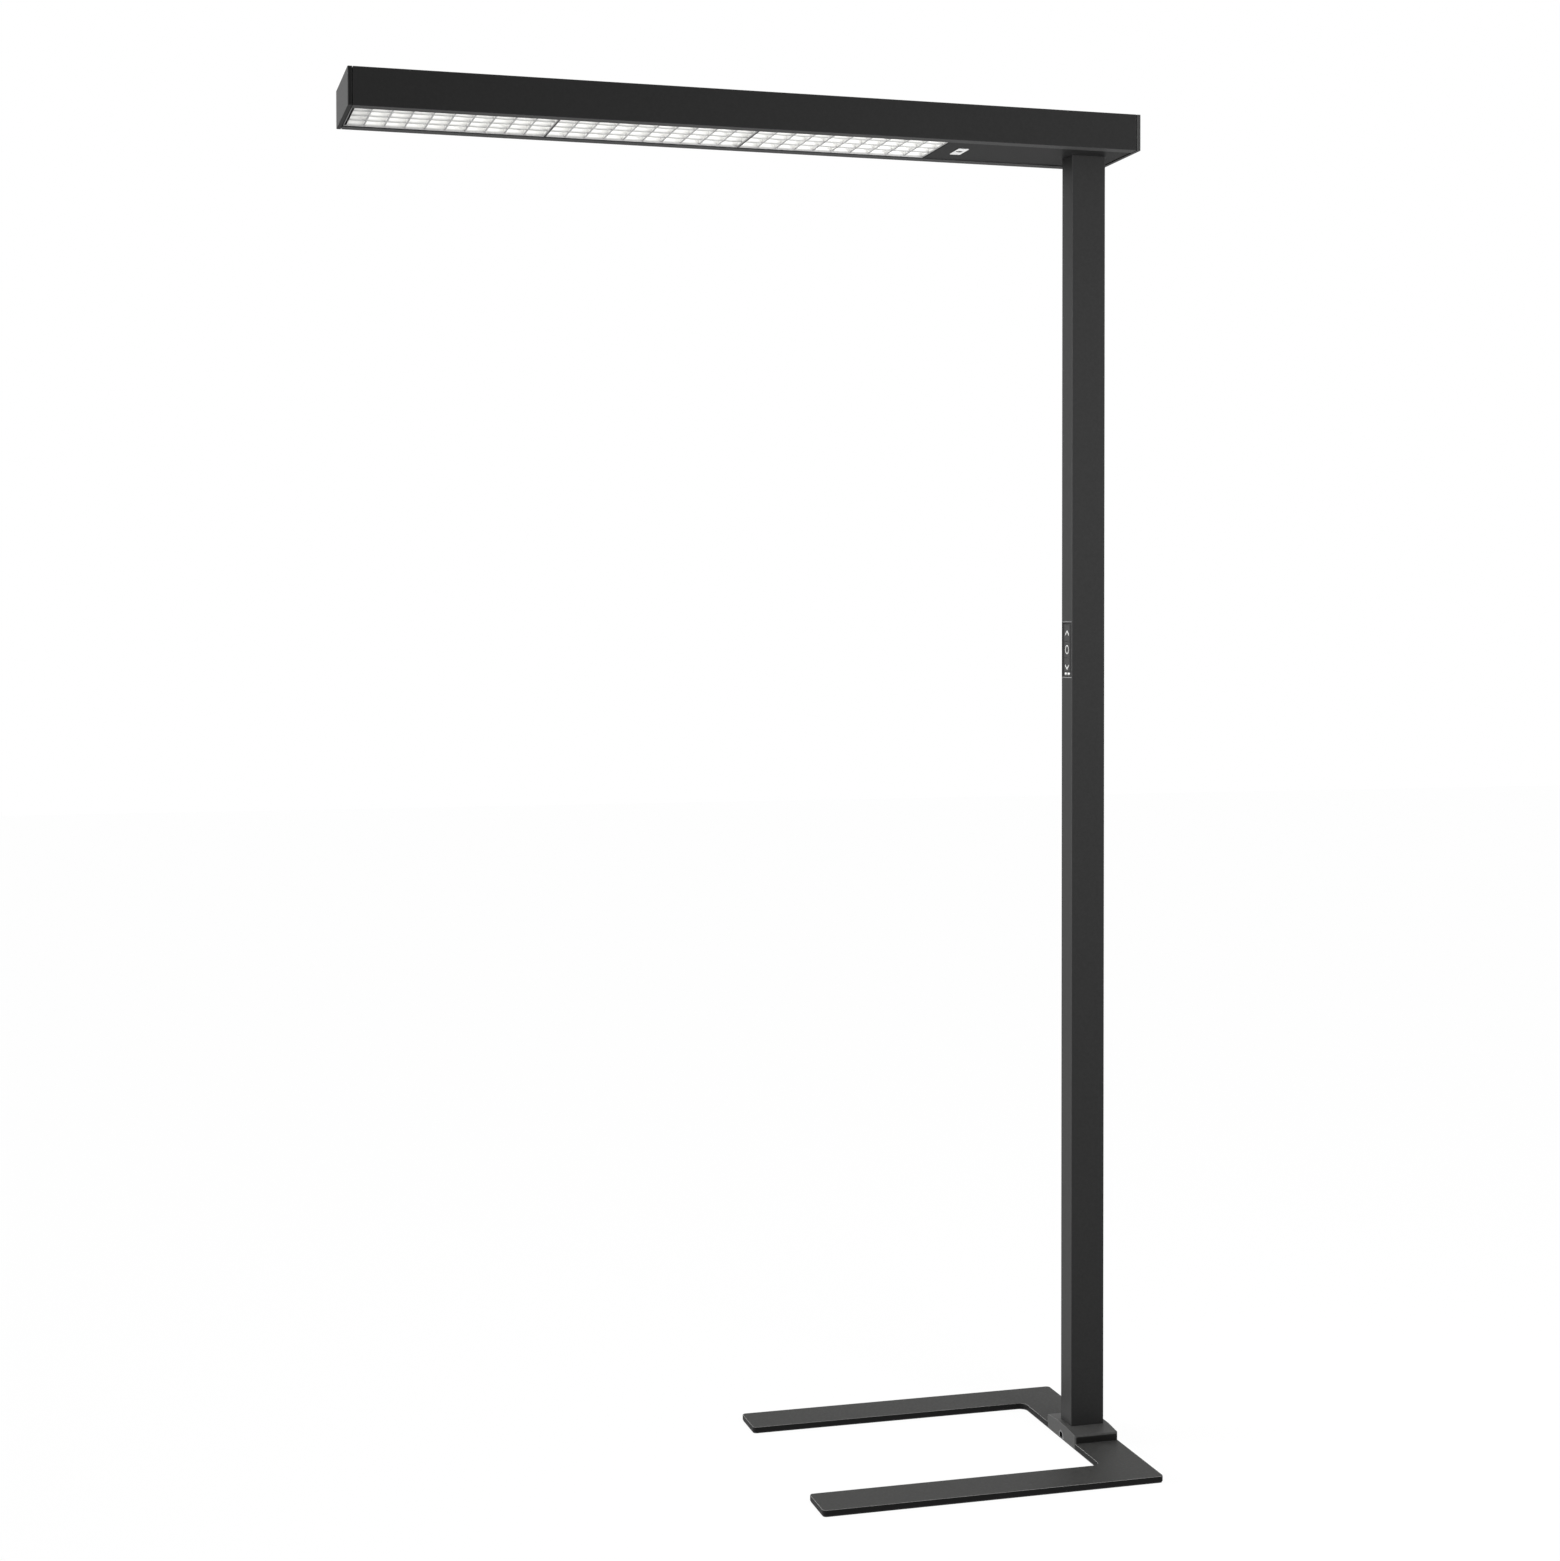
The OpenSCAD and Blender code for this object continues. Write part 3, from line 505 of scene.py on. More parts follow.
def screw_tree(name, countersunk):
    """Screws on a grid of points, each in proportion to its diameter: shank, head, hexagon."""
    tree, size = new_tree(name, SCREW_SIZES)
    d = size["Diameter"]
    radius = math_of(tree, "MULTIPLY", d, 0.5)
    shank = put(tree, "GeometryNodeMeshCylinder", Vertices=24, Radius=radius,
                Depth=size["Length"]).outputs["Mesh"]
    half_length = math_of(tree, "MULTIPLY", size["Length"], 0.5)
    if countersunk:
        rise = half_length
        head_h = math_of(tree, "MULTIPLY", d, 0.5)
        head = put(tree, "GeometryNodeMeshCone", Vertices=32, Radius_Bottom=d,
                   Radius_Top=radius, Depth=head_h).outputs["Mesh"]
        socket_z = math_of(tree, "MULTIPLY", d, 0.1)
    else:
        rise = math_of(tree, "MULTIPLY", half_length, -1.0)
        head_h = math_of(tree, "MULTIPLY", d, 0.6)
        head_r = math_of(tree, "MULTIPLY", d, 0.9)
        edge_r = math_of(tree, "MULTIPLY", d, 0.78)
        head = put(tree, "GeometryNodeMeshCone", Vertices=32, Side_Segments=1,
                   Radius_Bottom=head_r, Radius_Top=edge_r, Depth=head_h).outputs["Mesh"]
        socket_z = math_of(tree, "MULTIPLY", d, 0.5)
    shank_up = put(tree, "GeometryNodeTransform", Geometry=shank,
                   Translation=xyz(tree, z=rise)).outputs[0]
    socket_r = math_of(tree, "MULTIPLY", d, 0.45)
    socket_h = math_of(tree, "MULTIPLY", d, 0.4)
    hexagon = put(tree, "GeometryNodeMeshCylinder", Vertices=6, Radius=socket_r,
                  Depth=socket_h).outputs["Mesh"]
    sunk = put(tree, "GeometryNodeTransform", Geometry=hexagon,
               Translation=xyz(tree, z=socket_z)).outputs[0]
    cut_head = put(tree, "GeometryNodeMeshBoolean", {"operation": "DIFFERENCE"})
    tree.links.new(head, cut_head.inputs["Mesh 1"])
    tree.links.new(sunk, cut_head.inputs["Mesh 2"])
    whole = put(tree, "GeometryNodeJoinGeometry")
    tree.links.new(shank_up, whole.inputs[0])
    tree.links.new(cut_head.outputs["Mesh"], whole.inputs[0])
    spots = put(tree, "GeometryNodeMeshGrid", Size_X=size["Pitch X"], Size_Y=size["Pitch Y"],
                Vertices_X=size["Columns"], Vertices_Y=size["Rows"]).outputs["Mesh"]
    placed = put(tree, "GeometryNodeTransform", Geometry=spots,
                 Translation=xyz(tree, size["Middle X"], size["Middle Y"], size["Level"]))
    screws = put(tree, "GeometryNodeInstanceOnPoints", Points=placed.outputs[0],
                 Instance=whole.outputs[0])
    return close_tree(tree, screws.outputs[0], zinc)


csk_tree = screw_tree("countersunk_screws", True)
pan_tree = screw_tree("round_head_screws", False)
for node, tree, diameter, columns, rows in (
        ("base_screws", csk_tree, 6 * mm, 2, 2),
        ("foot_screws", csk_tree, 4.1 * mm, 2, 2),
        ("shoe_screws", csk_tree, 4 * mm, 1, 2),
        ("driver_screws", pan_tree, 3 * mm, 2, 1),
        ("bracket_screws", pan_tree, 5 * mm, 2, 2),
        ("pole_head_screws", pan_tree, 4.1 * mm, 2, 2)):
    low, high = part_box(node)
    middle = (low + high) / 2
    head_w = (2.0 if tree == csk_tree else 1.8) * diameter
    head_h = 0.0 if tree == csk_tree else 0.6 * diameter
    screws = grow(node + "_set", tree, {
        "Pitch X": max(0.0, high.x - low.x - head_w),
        "Pitch Y": max(0.0, high.y - low.y - head_w),
        "Middle X": middle.x, "Middle Y": middle.y,
        "Level": low.z if tree == csk_tree else high.z - head_h, "Diameter": diameter,
        "Length": high.z - low.z - head_h, "Columns": columns, "Rows": rows})
    settle(screws, zinc, "zinc_steel", "lamp", node)


# Pole: an extruded aluminium tube, powder coated, 52 by 39 mm with rounded edges. The recess
# for the keypad is milled into its narrow face, with broken edges above and below.
pole_low, pole_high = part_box("pole_tube")
keypad_low, keypad_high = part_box("control_housing")
POLE_R, BORE_R = 1.2 * mm, 1.5 * mm
POLE_WALL = 2.5 * mm
RECESS_D = 9 * mm
RECESS_HALF = 40.25 * mm
BREAK = 1.41 * mm          # chamfer above and below the recess
SIDE_WALL = 1.4 * mm       # left standing on both sides of the recess


def ring_of(low, high, inset, radius):
    """Rectangle with round corners between two corners, drawn in by an inset."""
    x0, y0, x1, y1 = low[0] + inset, low[1] + inset, high[0] - inset, high[1] - inset
    return arc_corners([(x1, y0, radius), (x1, y1, radius), (x0, y1, radius), (x0, y0, radius)])


pole_coat = powder_coat("pole_coat", (0.024, 0.024, 0.024), 0.5)
keypad_z = (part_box("key_power")[0].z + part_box("key_power")[1].z) / 2
pole = prism("pole_tube_eased", ring_of(pole_low, pole_high, 0, POLE_R), pole_low.z, pole_high.z)
cut(pole, prism("bore", ring_of(pole_low, pole_high, POLE_WALL, BORE_R),
                pole_low.z - 10 * mm, pole_high.z + 10 * mm))
recess_side = [(keypad_z - RECESS_HALF - BREAK, pole_low.x - mm),
               (keypad_z - RECESS_HALF - BREAK, pole_low.x),
               (keypad_z - RECESS_HALF, pole_low.x + BREAK),
               (keypad_z - RECESS_HALF, pole_low.x + RECESS_D),
               (keypad_z + RECESS_HALF, pole_low.x + RECESS_D),
               (keypad_z + RECESS_HALF, pole_low.x + BREAK),
               (keypad_z + RECESS_HALF + BREAK, pole_low.x),
               (keypad_z + RECESS_HALF + BREAK, pole_low.x - mm)]
recess_y = pole_high.y - SIDE_WALL
cut(pole, prism("recess", recess_side, -recess_y, recess_y, "ZXY"))
ease(pole, 0.25 * mm, 2)
settle(pole, pole_coat, "profile_paint", "lamp", "pole_tube")
edge_coat = powder_coat("edge_coat", (0.24, 0.24, 0.24), 0.5)
corner_highlight = powder_coat("corner_highlight", (0.044, 0.044, 0.044), 0.5)


def in_recess(centre):
    """True for a point in the depth of the recess."""
    return pole_low.x + BREAK < centre.x < pole_low.x + RECESS_D + mm


paint_faces(pole, edge_coat, lambda normal, centre: 0.3 < abs(normal.z) < 0.95
            and abs(centre.z - keypad_z) < RECESS_HALF + BREAK)
# The rounded corners of the tube get a lighter coat: a painted highlight.
paint_faces(pole, corner_highlight, lambda normal, centre: abs(normal.x) > 0.25
            and abs(normal.y) > 0.25 and not in_recess(centre))
# The recess's inner faces are painted near black: painted shade in the gaps around the housing.
paint_faces(pole, painted_shade_black, lambda normal, centre: in_recess(centre)
            and abs(centre.z - keypad_z) < RECESS_HALF + mm)


# Keypad: a moulded housing clipped into the recess, a satin plate, three keys with printed
# marks and a lit window. The keys press in by 0.6 mm on small switches.
def block(name, x, y, z):
    """Box over three ranges."""
    return prism(name, [(x[0], y[0]), (x[1], y[0]), (x[1], y[1]), (x[0], y[1])], *z)


housing_plastic = moulded("housing_plastic", (0.014, 0.014, 0.014), 0.5,
                          Specular_IOR_Level=0.1)
plate_plastic = moulded("plate_plastic", (0.034, 0.034, 0.034), 0.5, 0.5 * mm, 0.01 * mm,
                        Specular_IOR_Level=0.12)
key_plastic = moulded("key_plastic", (0.037, 0.037, 0.037), 0.48, 0.5 * mm, 0.01 * mm,
                      Specular_IOR_Level=0.12)
mark_print = moulded("mark_print", (0.60, 0.60, 0.59), 0.4, 0.4 * mm, 0.01 * mm)
opal_window = moulded("opal_window", (0.62, 0.62, 0.61), 0.25, mm, 0.005 * mm)


def mask_window(made, low, high):
    """Leaves the window's two ends white: its middle is greyer, and its lower rim is dark."""
    tree, shader = shader_of(made)
    spot = put(tree, "ShaderNodeSeparateXYZ", Vector=place_on(tree)).outputs
    away = math_of(tree, "ABSOLUTE", spot["Y"])
    ends = put(tree, "ShaderNodeMapRange", Value=away, From_Min=0.15 * high.y,
               From_Max=0.5 * high.y, To_Min=0.25, To_Max=1.0)
    rim = put(tree, "ShaderNodeMapRange", Value=spot["Z"], From_Min=low.z + 0.9 * mm,
              From_Max=low.z + 1.5 * mm, To_Min=0.12, To_Max=1.0)
    level = math_of(tree, "MULTIPLY", ends.outputs[0], rim.outputs[0])
    white = shader.inputs["Base Color"].links[0].from_socket
    shade = mix_colours(tree, 1.0, white, level, "MULTIPLY")
    tree.links.new(shade, shader.inputs["Base Color"])
    tree.links.new(shade, shader.inputs["Emission Color"])
    shader.inputs["Emission Strength"].default_value = 0.45


mask_window(opal_window, *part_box("status_window"))
board_low, board_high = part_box("control_board")
sheet_low, sheet_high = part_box("control_plate")
HOUSING_GAP, TOP_GAP = 0.15 * mm, 1.3 * mm
SEAT_GAP, POCKET_GAP = 0.1 * mm, 0.05 * mm


def widened(low, high, gap):
    """A piece's two ranges across the pole and along it, with a gap on each side."""
    return (low.y - gap, high.y + gap), (low.z - gap, high.z + gap)


half_y = recess_y - HOUSING_GAP
housing = block("housing", (keypad_low.x, keypad_high.x), (-half_y, half_y),
                (keypad_z - RECESS_HALF + 0.1 * mm, keypad_z + RECESS_HALF - TOP_GAP))
cut(housing, block("seat", (pole_low.x - mm, sheet_high.x + 0.05 * mm),
                   *widened(sheet_low, sheet_high, SEAT_GAP)))
cut(housing, block("pocket", (pole_low.x - mm, board_high.x + 0.05 * mm),
                   *widened(board_low, board_high, POCKET_GAP)))
ease(housing, 0.3 * mm)
settle(housing, housing_plastic, "keypad_plastic", "lamp", "control_housing")
eased_copy("control_plate", 0.12 * mm, plate_plastic, "keypad_plate")
MARK_H = 0.3 * mm          # the printed marks stand out by this
for key in ("up", "power", "down"):
    cap = eased_copy(f"key_{key}", 0.14 * mm, key_plastic, "key_plastic", f"{key}_key")
    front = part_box(f"key_{key}")[0].x
    paint_faces(cap, mark_print, lambda normal, centre: centre.x < front + 0.9 * MARK_H)
eased_copy("status_window", 0.15 * mm, opal_window, "window_opal")


# Circuit boards: green laminate behind the keys and the sensor, and white laminate strips for
# the light sources, all etched, with copper tracks under the solder mask.
def circuit(name, colour, track, size):
    """Circuit board: thin tracks show through the mask as lighter lines."""
    made = material(name, colour, 0.3, Coat_Weight=0.4, Coat_Roughness=0.1)
    tree, shader = shader_of(made)
    tracks = put(tree, "ShaderNodeTexVoronoi",
                 {"distance": "MANHATTAN", "feature": "DISTANCE_TO_EDGE"},
                 Vector=place_on(tree), Scale=1 / size)
    mask = put(tree, "ShaderNodeMapRange", Value=tracks.outputs["Distance"], From_Min=0.04,
               From_Max=0.07, To_Min=1.0, To_Max=0.0)
    shown = mix_colours(tree, mask.outputs[0], (*colour, 1), (*track, 1))
    tree.links.new(shown, shader.inputs["Base Color"])
    relief = put(tree, "ShaderNodeBump", Distance=0.03 * mm, Height=mask.outputs[0])
    tree.links.new(relief.outputs[0], shader.inputs["Normal"])
    return made


green_board = circuit("green_board", (0.030, 0.140, 0.070), (0.06, 0.24, 0.11), 4 * mm)
white_board = circuit("white_board", (0.80, 0.80, 0.78), (0.70, 0.70, 0.66), 8 * mm)
black_switch = moulded("black_switch", (0.018, 0.018, 0.018))
finish_node("control_board", green_board)
finish_node("sensor_board", green_board)
finish_node("key_switches", black_switch)


# Cables: black sheathed cables inside the pole, from the inlet to the terminals and from the
# keypad to the driver.
sheath = grain(vary(material("cable_sheath", (0.02, 0.02, 0.021), 0.5), 10 * mm, 0.1),
               1.5 * mm, 0.05 * mm)
finish_node("supply_cable", sheath)
finish_node("control_lead", sheath)


# Head profile: one aluminium extrusion, powder coated black grey, with a lip along each lower
# edge, a web in its middle and slots for the upper covers.
head_low, head_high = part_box("head_profile")
slot_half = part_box("louvre_diffuser")[1].y
HEAD_R = 0.6 * mm
WALL = 2.5 * mm
LIP_T = 1.5 * mm
TOP_LIP, TOP_LIP_T = 12.5 * mm, 2 * mm
LEDGE, LEDGE_T = 6 * mm, 2 * mm
COVER_GAP = 2 * mm
WEB_DEPTH, WEB_T = 24 * mm, 3 * mm
head_h = head_high.z - head_low.z
web_z = head_h - WEB_DEPTH
seat_z = head_h - TOP_LIP_T - COVER_GAP
y1 = head_high.y
yi = y1 - WALL
right_side = [
    (slot_half, 0, 0), (y1, 0, HEAD_R), (y1, head_h, HEAD_R), (y1 - TOP_LIP, head_h, 0),
    (y1 - TOP_LIP, head_h - TOP_LIP_T, 0), (yi, head_h - TOP_LIP_T, 0), (yi, seat_z, 0),
    (yi - LEDGE, seat_z, 0), (yi - LEDGE, seat_z - LEDGE_T, 0), (yi, seat_z - LEDGE_T, 0),
    (yi, web_z + WEB_T, 0)]
left_side = [(-y, z, r) for y, z, r in reversed(right_side)]
lower = [(-slot_half, LIP_T, 0), (-yi, LIP_T, 0), (-yi, web_z, 0), (yi, web_z, 0),
         (yi, LIP_T, 0), (slot_half, LIP_T, 0)]
section = arc_corners(right_side + left_side + lower, 4)
head = prism("head_profile_eased", [(p[0], p[1] + head_low.z) for p in section],
             head_low.x, head_high.x, "YZX")
ease(head, 0.15 * mm, 2)
head_coat = powder_coat("head_coat", (0.018, 0.018, 0.018), 0.5)
underside_light_coat = powder_coat("underside_light_coat", (0.070, 0.070, 0.070), 0.5, shine=0.01)
settle(head, head_coat, "profile_paint", "lamp", "head_profile")
# Downward faces of the profile get a lighter coat than its other faces: painted light on the
# underside.
paint_faces(head, underside_light_coat, lambda normal, centre: normal.z < -0.9)


# End caps: die-cast ends, powder coated a little lighter, with eased corners. A thin shadow
# gap parts each from the profile, and pegs in the profile's screw channels hold it.
def joined(name, *pieces):
    """One piece made of several, which are removed."""
    bm = bmesh.new()
    for piece in pieces:
        bm.from_mesh(piece.data)
        bpy.data.objects.remove(piece)
    mesh = bpy.data.meshes.new(name)
    bm.to_mesh(mesh)
    bm.free()
    return add_piece(name, mesh)


cap_coat = powder_coat("cap_coat", (0.0255, 0.0255, 0.0255), 0.5)
cap_side_shade = powder_coat("cap_side_shade", (0.019, 0.019, 0.019), 0.5, shine=0.02)
cap_side_highlight = powder_coat("cap_side_highlight", (0.050, 0.050, 0.050), 0.5, shine=0.02)
CAP_R = 2 * mm
CAP_GAP = 0.9 * mm
SPIGOT_IN, SPIGOT_L, SPIGOT_UP = 3 * mm, 5 * mm, 2.2 * mm
for side, name in ((-1, "end_cap_left"), (1, "end_cap_right")):
    low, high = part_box(name)
    outer = low.x if side < 0 else high.x
    seam = head_low.x if side < 0 else head_high.x
    inner = seam + side * CAP_GAP
    plan = arc_corners([(inner, low.y, 0), (outer, low.y, CAP_R), (outer, high.y, CAP_R),
                        (inner, high.y, 0)], 8)
    cover = ease(prism("cover", plan, low.z, high.z), 0.4 * mm)
    spigot = block("spigot", (inner + side * mm, seam - side * SPIGOT_L),
                   (low.y + SPIGOT_IN, high.y - SPIGOT_IN),
                   (low.z + SPIGOT_UP, high.z - SPIGOT_IN))
    cap = settle(joined(name + "_eased", cover, spigot), cap_coat, "cap_paint", "lamp", name)
    # The faces other than the outer end get painted shade on the left cap and a painted highlight
    # on the right.
    paint_faces(cap, cap_side_shade if side < 0 else cap_side_highlight,
                lambda normal, centre: abs(normal.x) < 0.5)
    # Faces more than 2.5 mm in from the outer end, at the gap and the spigot, are painted near
    # black: painted shade.
    paint_faces(cap, painted_shade_black,
                lambda normal, centre: (outer - centre.x) * side > 2.5 * mm
                and abs(centre.y) < high.y - SPIGOT_IN + 0.1 * mm)


# Louvres: three white grids, moulded in one piece each, that lie on the lips of the profile.
# Every blade is wedge shaped, thick at the light and thin at its rounded lower edge.
LOUVRE_FRAME = 1.2 * mm
LOUVRE_IN = 3 * mm - LIP_T         # the blades end this far over the edge of the frame
LOUVRE_FLANGE_T = 1.2 * mm
GRID_GAP = 0.4 * mm
BLADE_ROOT, BLADE_FIT = 2.6 * mm, 0.1 * mm
CELLS_ALONG, CELLS_ACROSS = 10, 4


def louvre_shaded_plastic():
    """White plastic with a painted shade: greyer towards the lower edges of the blades, away from
    the light.
    """
    made = moulded("louvre_shaded_plastic", (0.80, 0.80, 0.79), 0.35, 2 * mm, 0.01 * mm)
    tree, shader = shader_of(made)
    height = put(tree, "ShaderNodeSeparateXYZ", Vector=place_on(tree)).outputs["Z"]
    facing = put(tree, "ShaderNodeNewGeometry").outputs["Normal"]
    sideways = put(tree, "ShaderNodeSeparateXYZ", Vector=facing).outputs["Y"]
    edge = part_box("louvre_1")[0].z + LOUVRE_IN
    reach = put(tree, "ShaderNodeMapRange", Value=math_of(tree, "ABSOLUTE", sideways),
                From_Min=0.4, From_Max=0.9, To_Min=edge + 0.7 * mm, To_Max=edge + 3.2 * mm)
    rim = put(tree, "ShaderNodeMapRange", Value=height, From_Min=edge + 0.2 * mm,
              From_Max=reach.outputs[0], To_Min=0.0, To_Max=1.0)
    white = shader.inputs["Base Color"].links[0].from_socket
    # Painted shade: grey at the blades' lower edges, fading to white higher up.
    shown = mix_colours(tree, rim.outputs[0], (0.36, 0.36, 0.36, 1), white)
    tree.links.new(shown, shader.inputs["Base Color"])
    return made


def blades(tree, size, along_x):
    """The inner blades in one direction: a wedge swept along a line, repeated across."""
    span, across = ("Length", "Width") if along_x else ("Width", "Length")
    count = size["Rows" if along_x else "Columns"]
    pitch = math_of(tree, "DIVIDE", math_of(tree, "SUBTRACT", size[across], size["Edge"]), count)
    tall = size["Height"]
    wedge = put(tree, "GeometryNodeCurvePrimitiveQuadrilateral", {"mode": "TRAPEZOID"},
                Bottom_Width=size["Edge"], Top_Width=size["Root"], Height=tall, Offset=0.0)
    round_wedge = put(tree, "GeometryNodeFilletCurve", {"mode": "POLY"},
                      Curve=wedge.outputs[0], Radius=math_of(tree, "MULTIPLY", size["Edge"], 0.4),
                      Count=2)
    end = xyz(tree, x=size[span]) if along_x else xyz(tree, y=size[span])
    line = put(tree, "GeometryNodeCurvePrimitiveLine", End=end)
    blade = put(tree, "GeometryNodeCurveToMesh", Curve=line.outputs[0],
                Profile_Curve=round_wedge.outputs[0], Fill_Caps=True)
    middle = math_of(tree, "ADD", pitch, math_of(tree, "MULTIPLY", size["Edge"], 0.5))
    rise = math_of(tree, "MULTIPLY", tall, 0.5)
    first = xyz(tree, y=middle, z=rise) if along_x else xyz(tree, x=middle, z=rise)
    seated = put(tree, "GeometryNodeTransform", Geometry=blade.outputs[0], Translation=first)
    step = xyz(tree, y=pitch) if along_x else xyz(tree, x=pitch)
    spots = put(tree, "GeometryNodeMeshLine", Count=math_of(tree, "SUBTRACT", count, 1.0),
                Offset=step)
    return put(tree, "GeometryNodeInstanceOnPoints", Points=spots.outputs[0],
               Instance=seated.outputs[0]).outputs[0]


louvre_white = louvre_shaded_plastic()
louvre_tree, size = new_tree("louvre_blades", {
    "Length": 0.0, "Width": 0.0, "Height": 0.0, "Columns": 0, "Rows": 0, "Edge": 0.0,
    "Root": 0.0, "Start X": 0.0, "Start Y": 0.0, "Level": 0.0})
grid = put(louvre_tree, "GeometryNodeJoinGeometry")
louvre_tree.links.new(blades(louvre_tree, size, True), grid.inputs[0])
louvre_tree.links.new(blades(louvre_tree, size, False), grid.inputs[0])
placed = put(louvre_tree, "GeometryNodeTransform", Geometry=grid.outputs[0],
             Translation=xyz(louvre_tree, size["Start X"], size["Start Y"], size["Level"]))
close_tree(louvre_tree, placed.outputs[0], louvre_white)
grid_half = slot_half - GRID_GAP
seam_painted_shade = moulded("seam_painted_shade", (0.05, 0.05, 0.05))
for node in ("louvre_1", "louvre_2", "louvre_3"):
    low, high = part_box(node)
    inner = grow("blades", louvre_tree, {
        "Length": high.x - low.x - 2 * BLADE_FIT, "Width": 2 * grid_half,
        "Height": high.z - low.z - LOUVRE_IN, "Columns": CELLS_ALONG, "Rows": CELLS_ACROSS,
        "Edge": LOUVRE_FRAME, "Root": BLADE_ROOT, "Start X": low.x + BLADE_FIT,
        "Start Y": -grid_half, "Level": low.z + LOUVRE_IN})
    walls = []
    for side in (-1, 1):
        wall_y = sorted((side * grid_half, side * (grid_half - LOUVRE_FRAME)))
        walls.append(block("wall", (low.x, high.x), wall_y, (low.z, high.z)))
        flange_y = sorted((side * grid_half, side * high.y))
        walls.append(block("flange", (low.x, high.x), flange_y,
                           (low.z, low.z + LOUVRE_FLANGE_T)))
        end = low.x if side < 0 else high.x
        wall_x = sorted((end, end - side * LOUVRE_FRAME))
        walls.append(block("end", wall_x, (-grid_half + LOUVRE_FRAME, grid_half - LOUVRE_FRAME),
                           (low.z, high.z)))
    for wall in walls:
        ease(wall, 0.2 * mm, 2)
    louvre = settle(joined(node + "_grid", inner, *walls), louvre_white, "louvre_white",
                    "lamp", node)
    # The faces at each module's two ends are painted dark grey: painted shade in the seams
    # between modules.
    paint_faces(louvre, seam_painted_shade, lambda normal, centre:
                min(centre.x - low.x, high.x - centre.x) < 0.6 * LOUVRE_FRAME)


# Diffusers: opal sheets, one over the louvres, lit evenly by the sources above it, and one in
# the slots on top of the head.
opal_sheet = vary(material("opal_sheet", (0.90, 0.90, 0.88), 0.35, Emission_Strength=1.5,
                           Emission_Color=(1.0, 0.99, 0.97, 1)), 50 * mm, 0.02)
grain(opal_sheet, 4 * mm, 0.02 * mm)
finish_node("louvre_diffuser", opal_sheet)
top_sheet = vary(material("top_sheet", (0.88, 0.88, 0.86), 0.4), 50 * mm, 0.02)
grain(top_sheet, 4 * mm, 0.02 * mm)
finish_node("top_diffuser", top_sheet)


# Light sources: small packages with a drop of phosphor gel, in a row along the middle of each
# strip. They are soldered on, and face down under the head's web and up above it.
phosphor = vary(material("phosphor_gel", (0.88, 0.70, 0.26), 0.25, Coat_Weight=0.5), mm, 0.1)
led_tree, size = new_tree("light_sources", {
    "Side": 0.0, "Thickness": 0.0, "Pitch": 0.0, "Count": 0, "Start X": 0.0, "Level": 0.0,
    "Drop Side": 1.0})
half_t = math_of(led_tree, "MULTIPLY", size["Thickness"], 0.5)
package = put(led_tree, "GeometryNodeMeshCube",
              Size=xyz(led_tree, size["Side"], size["Side"], half_t)).outputs["Mesh"]
gel = put(led_tree, "GeometryNodeMeshCone", Vertices=24,
          Radius_Bottom=math_of(led_tree, "MULTIPLY", size["Side"], 0.44),
          Radius_Top=math_of(led_tree, "MULTIPLY", size["Side"], 0.25),
          Depth=half_t).outputs["Mesh"]
raised = put(led_tree, "GeometryNodeTransform", Geometry=gel,
             Translation=xyz(led_tree, z=math_of(led_tree, "MULTIPLY", half_t, 0.5))).outputs[0]
source = put(led_tree, "GeometryNodeJoinGeometry")
led_tree.links.new(package, source.inputs[0])
led_tree.links.new(raised, source.inputs[0])
turned = put(led_tree, "GeometryNodeTransform", Geometry=source.outputs[0],
             Rotation=xyz(led_tree, x=math_of(led_tree, "MULTIPLY", size["Drop Side"], math.pi)))
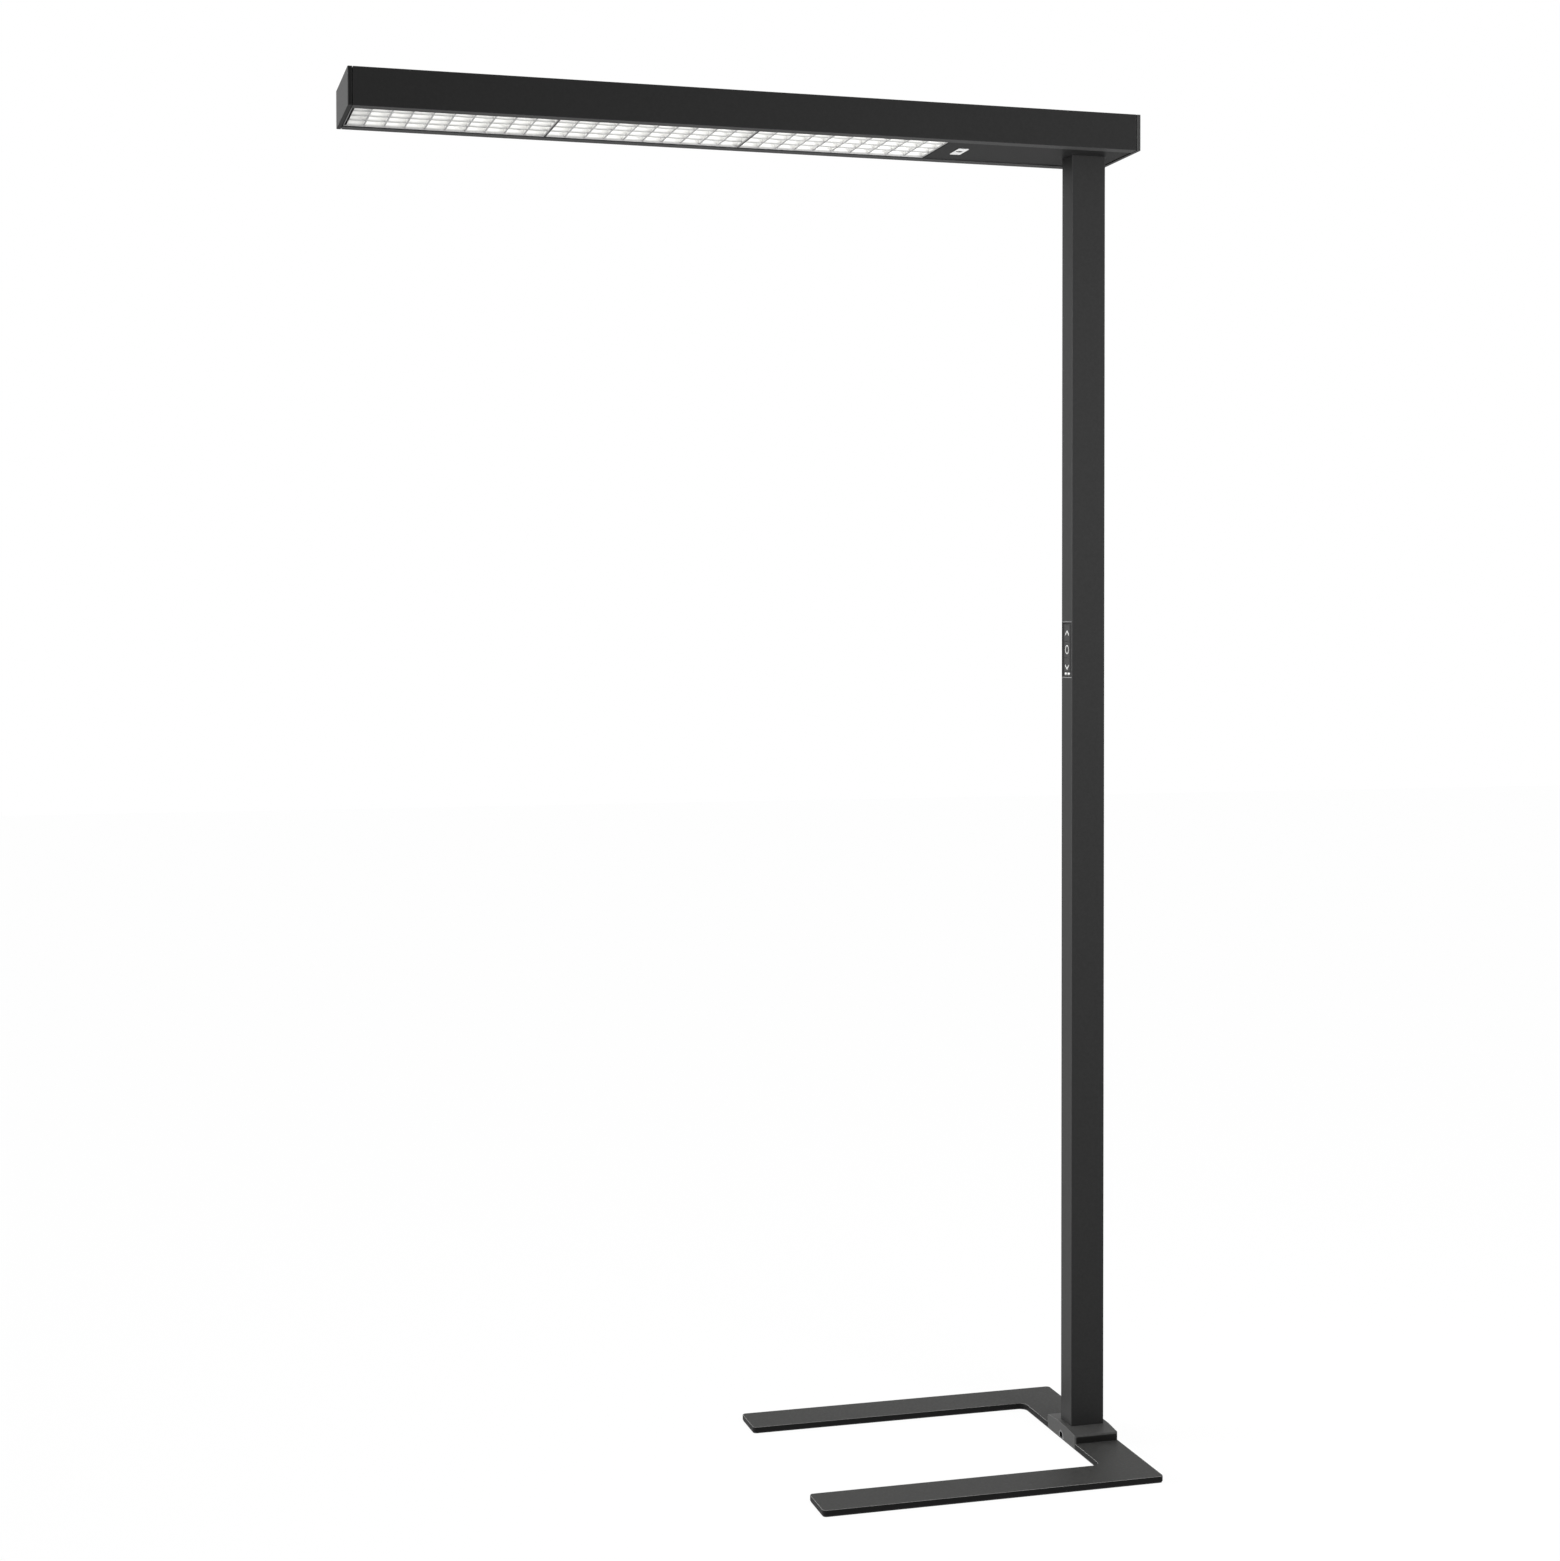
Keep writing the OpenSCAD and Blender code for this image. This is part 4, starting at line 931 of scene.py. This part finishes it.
spots = put(led_tree, "GeometryNodeMeshLine", Count=size["Count"],
            Start_Location=xyz(led_tree, size["Start X"], 0.0, size["Level"]),
            Offset=xyz(led_tree, x=size["Pitch"]))
row = put(led_tree, "GeometryNodeInstanceOnPoints", Points=spots.outputs[0],
          Instance=turned.outputs[0])
close_tree(led_tree, row.outputs[0], phosphor)
LED_COUNT = 36
for node, turn in (("down_leds", 1.0), ("up_leds", 0.0)):
    low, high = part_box(node)
    side, thick = high.y - low.y, high.z - low.z
    seat = high.z - thick / 4 if turn else low.z + thick / 4
    leds = grow(node + "_row", led_tree, {
        "Side": side, "Thickness": thick, "Pitch": (high.x - low.x - side) / (LED_COUNT - 1),
        "Count": LED_COUNT, "Start X": low.x + side / 2, "Level": seat, "Drop Side": turn})
    settle(leds, phosphor, "led_yellow", "lamp", node)
for node in ("down_boards", "up_boards"):
    finish_node(node, white_board)


# Top cover and underside panel: aluminium sheets that close the head over and under the driver,
# between the louvres and the right end. They are coated like the profile.
panel_coat = powder_coat("panel_coat", (0.022, 0.022, 0.022), 0.45, shine=0.01)
eased_copy("top_cover", 0.3 * mm, head_coat, "profile_paint")
eased_copy("underside_panel", 0.25 * mm, panel_coat, "profile_paint")


# Sensor: a white moulded frame, clipped into the underside panel, with a smoked plastic lens
# that looks down on the desk.
sensor_plastic = moulded("sensor_plastic", (0.84, 0.84, 0.83), 0.35)
smoked = vary(material("smoked_lens", (0.006, 0.006, 0.007), 0.2,
                       Specular_IOR_Level=0.05), 4 * mm, 0.05)
eased_copy("sensor_bezel", 0.3 * mm, sensor_plastic, "sensor_white")
eased_copy("sensor_lens", 0, smoked, "sensor_dark")


# Driver and terminals: the supply in its closed plastic case, screwed to the web, and beside it
# the moulded terminal block for the supply cable.
case_plastic = moulded("case_plastic", (0.62, 0.63, 0.64))
terminal_plastic = moulded("terminal_plastic", (0.70, 0.70, 0.68))
eased_copy("led_driver", 0.6 * mm, case_plastic, "driver_case")
eased_copy("terminal_block", 0.4 * mm, terminal_plastic, "terminal_plastic")
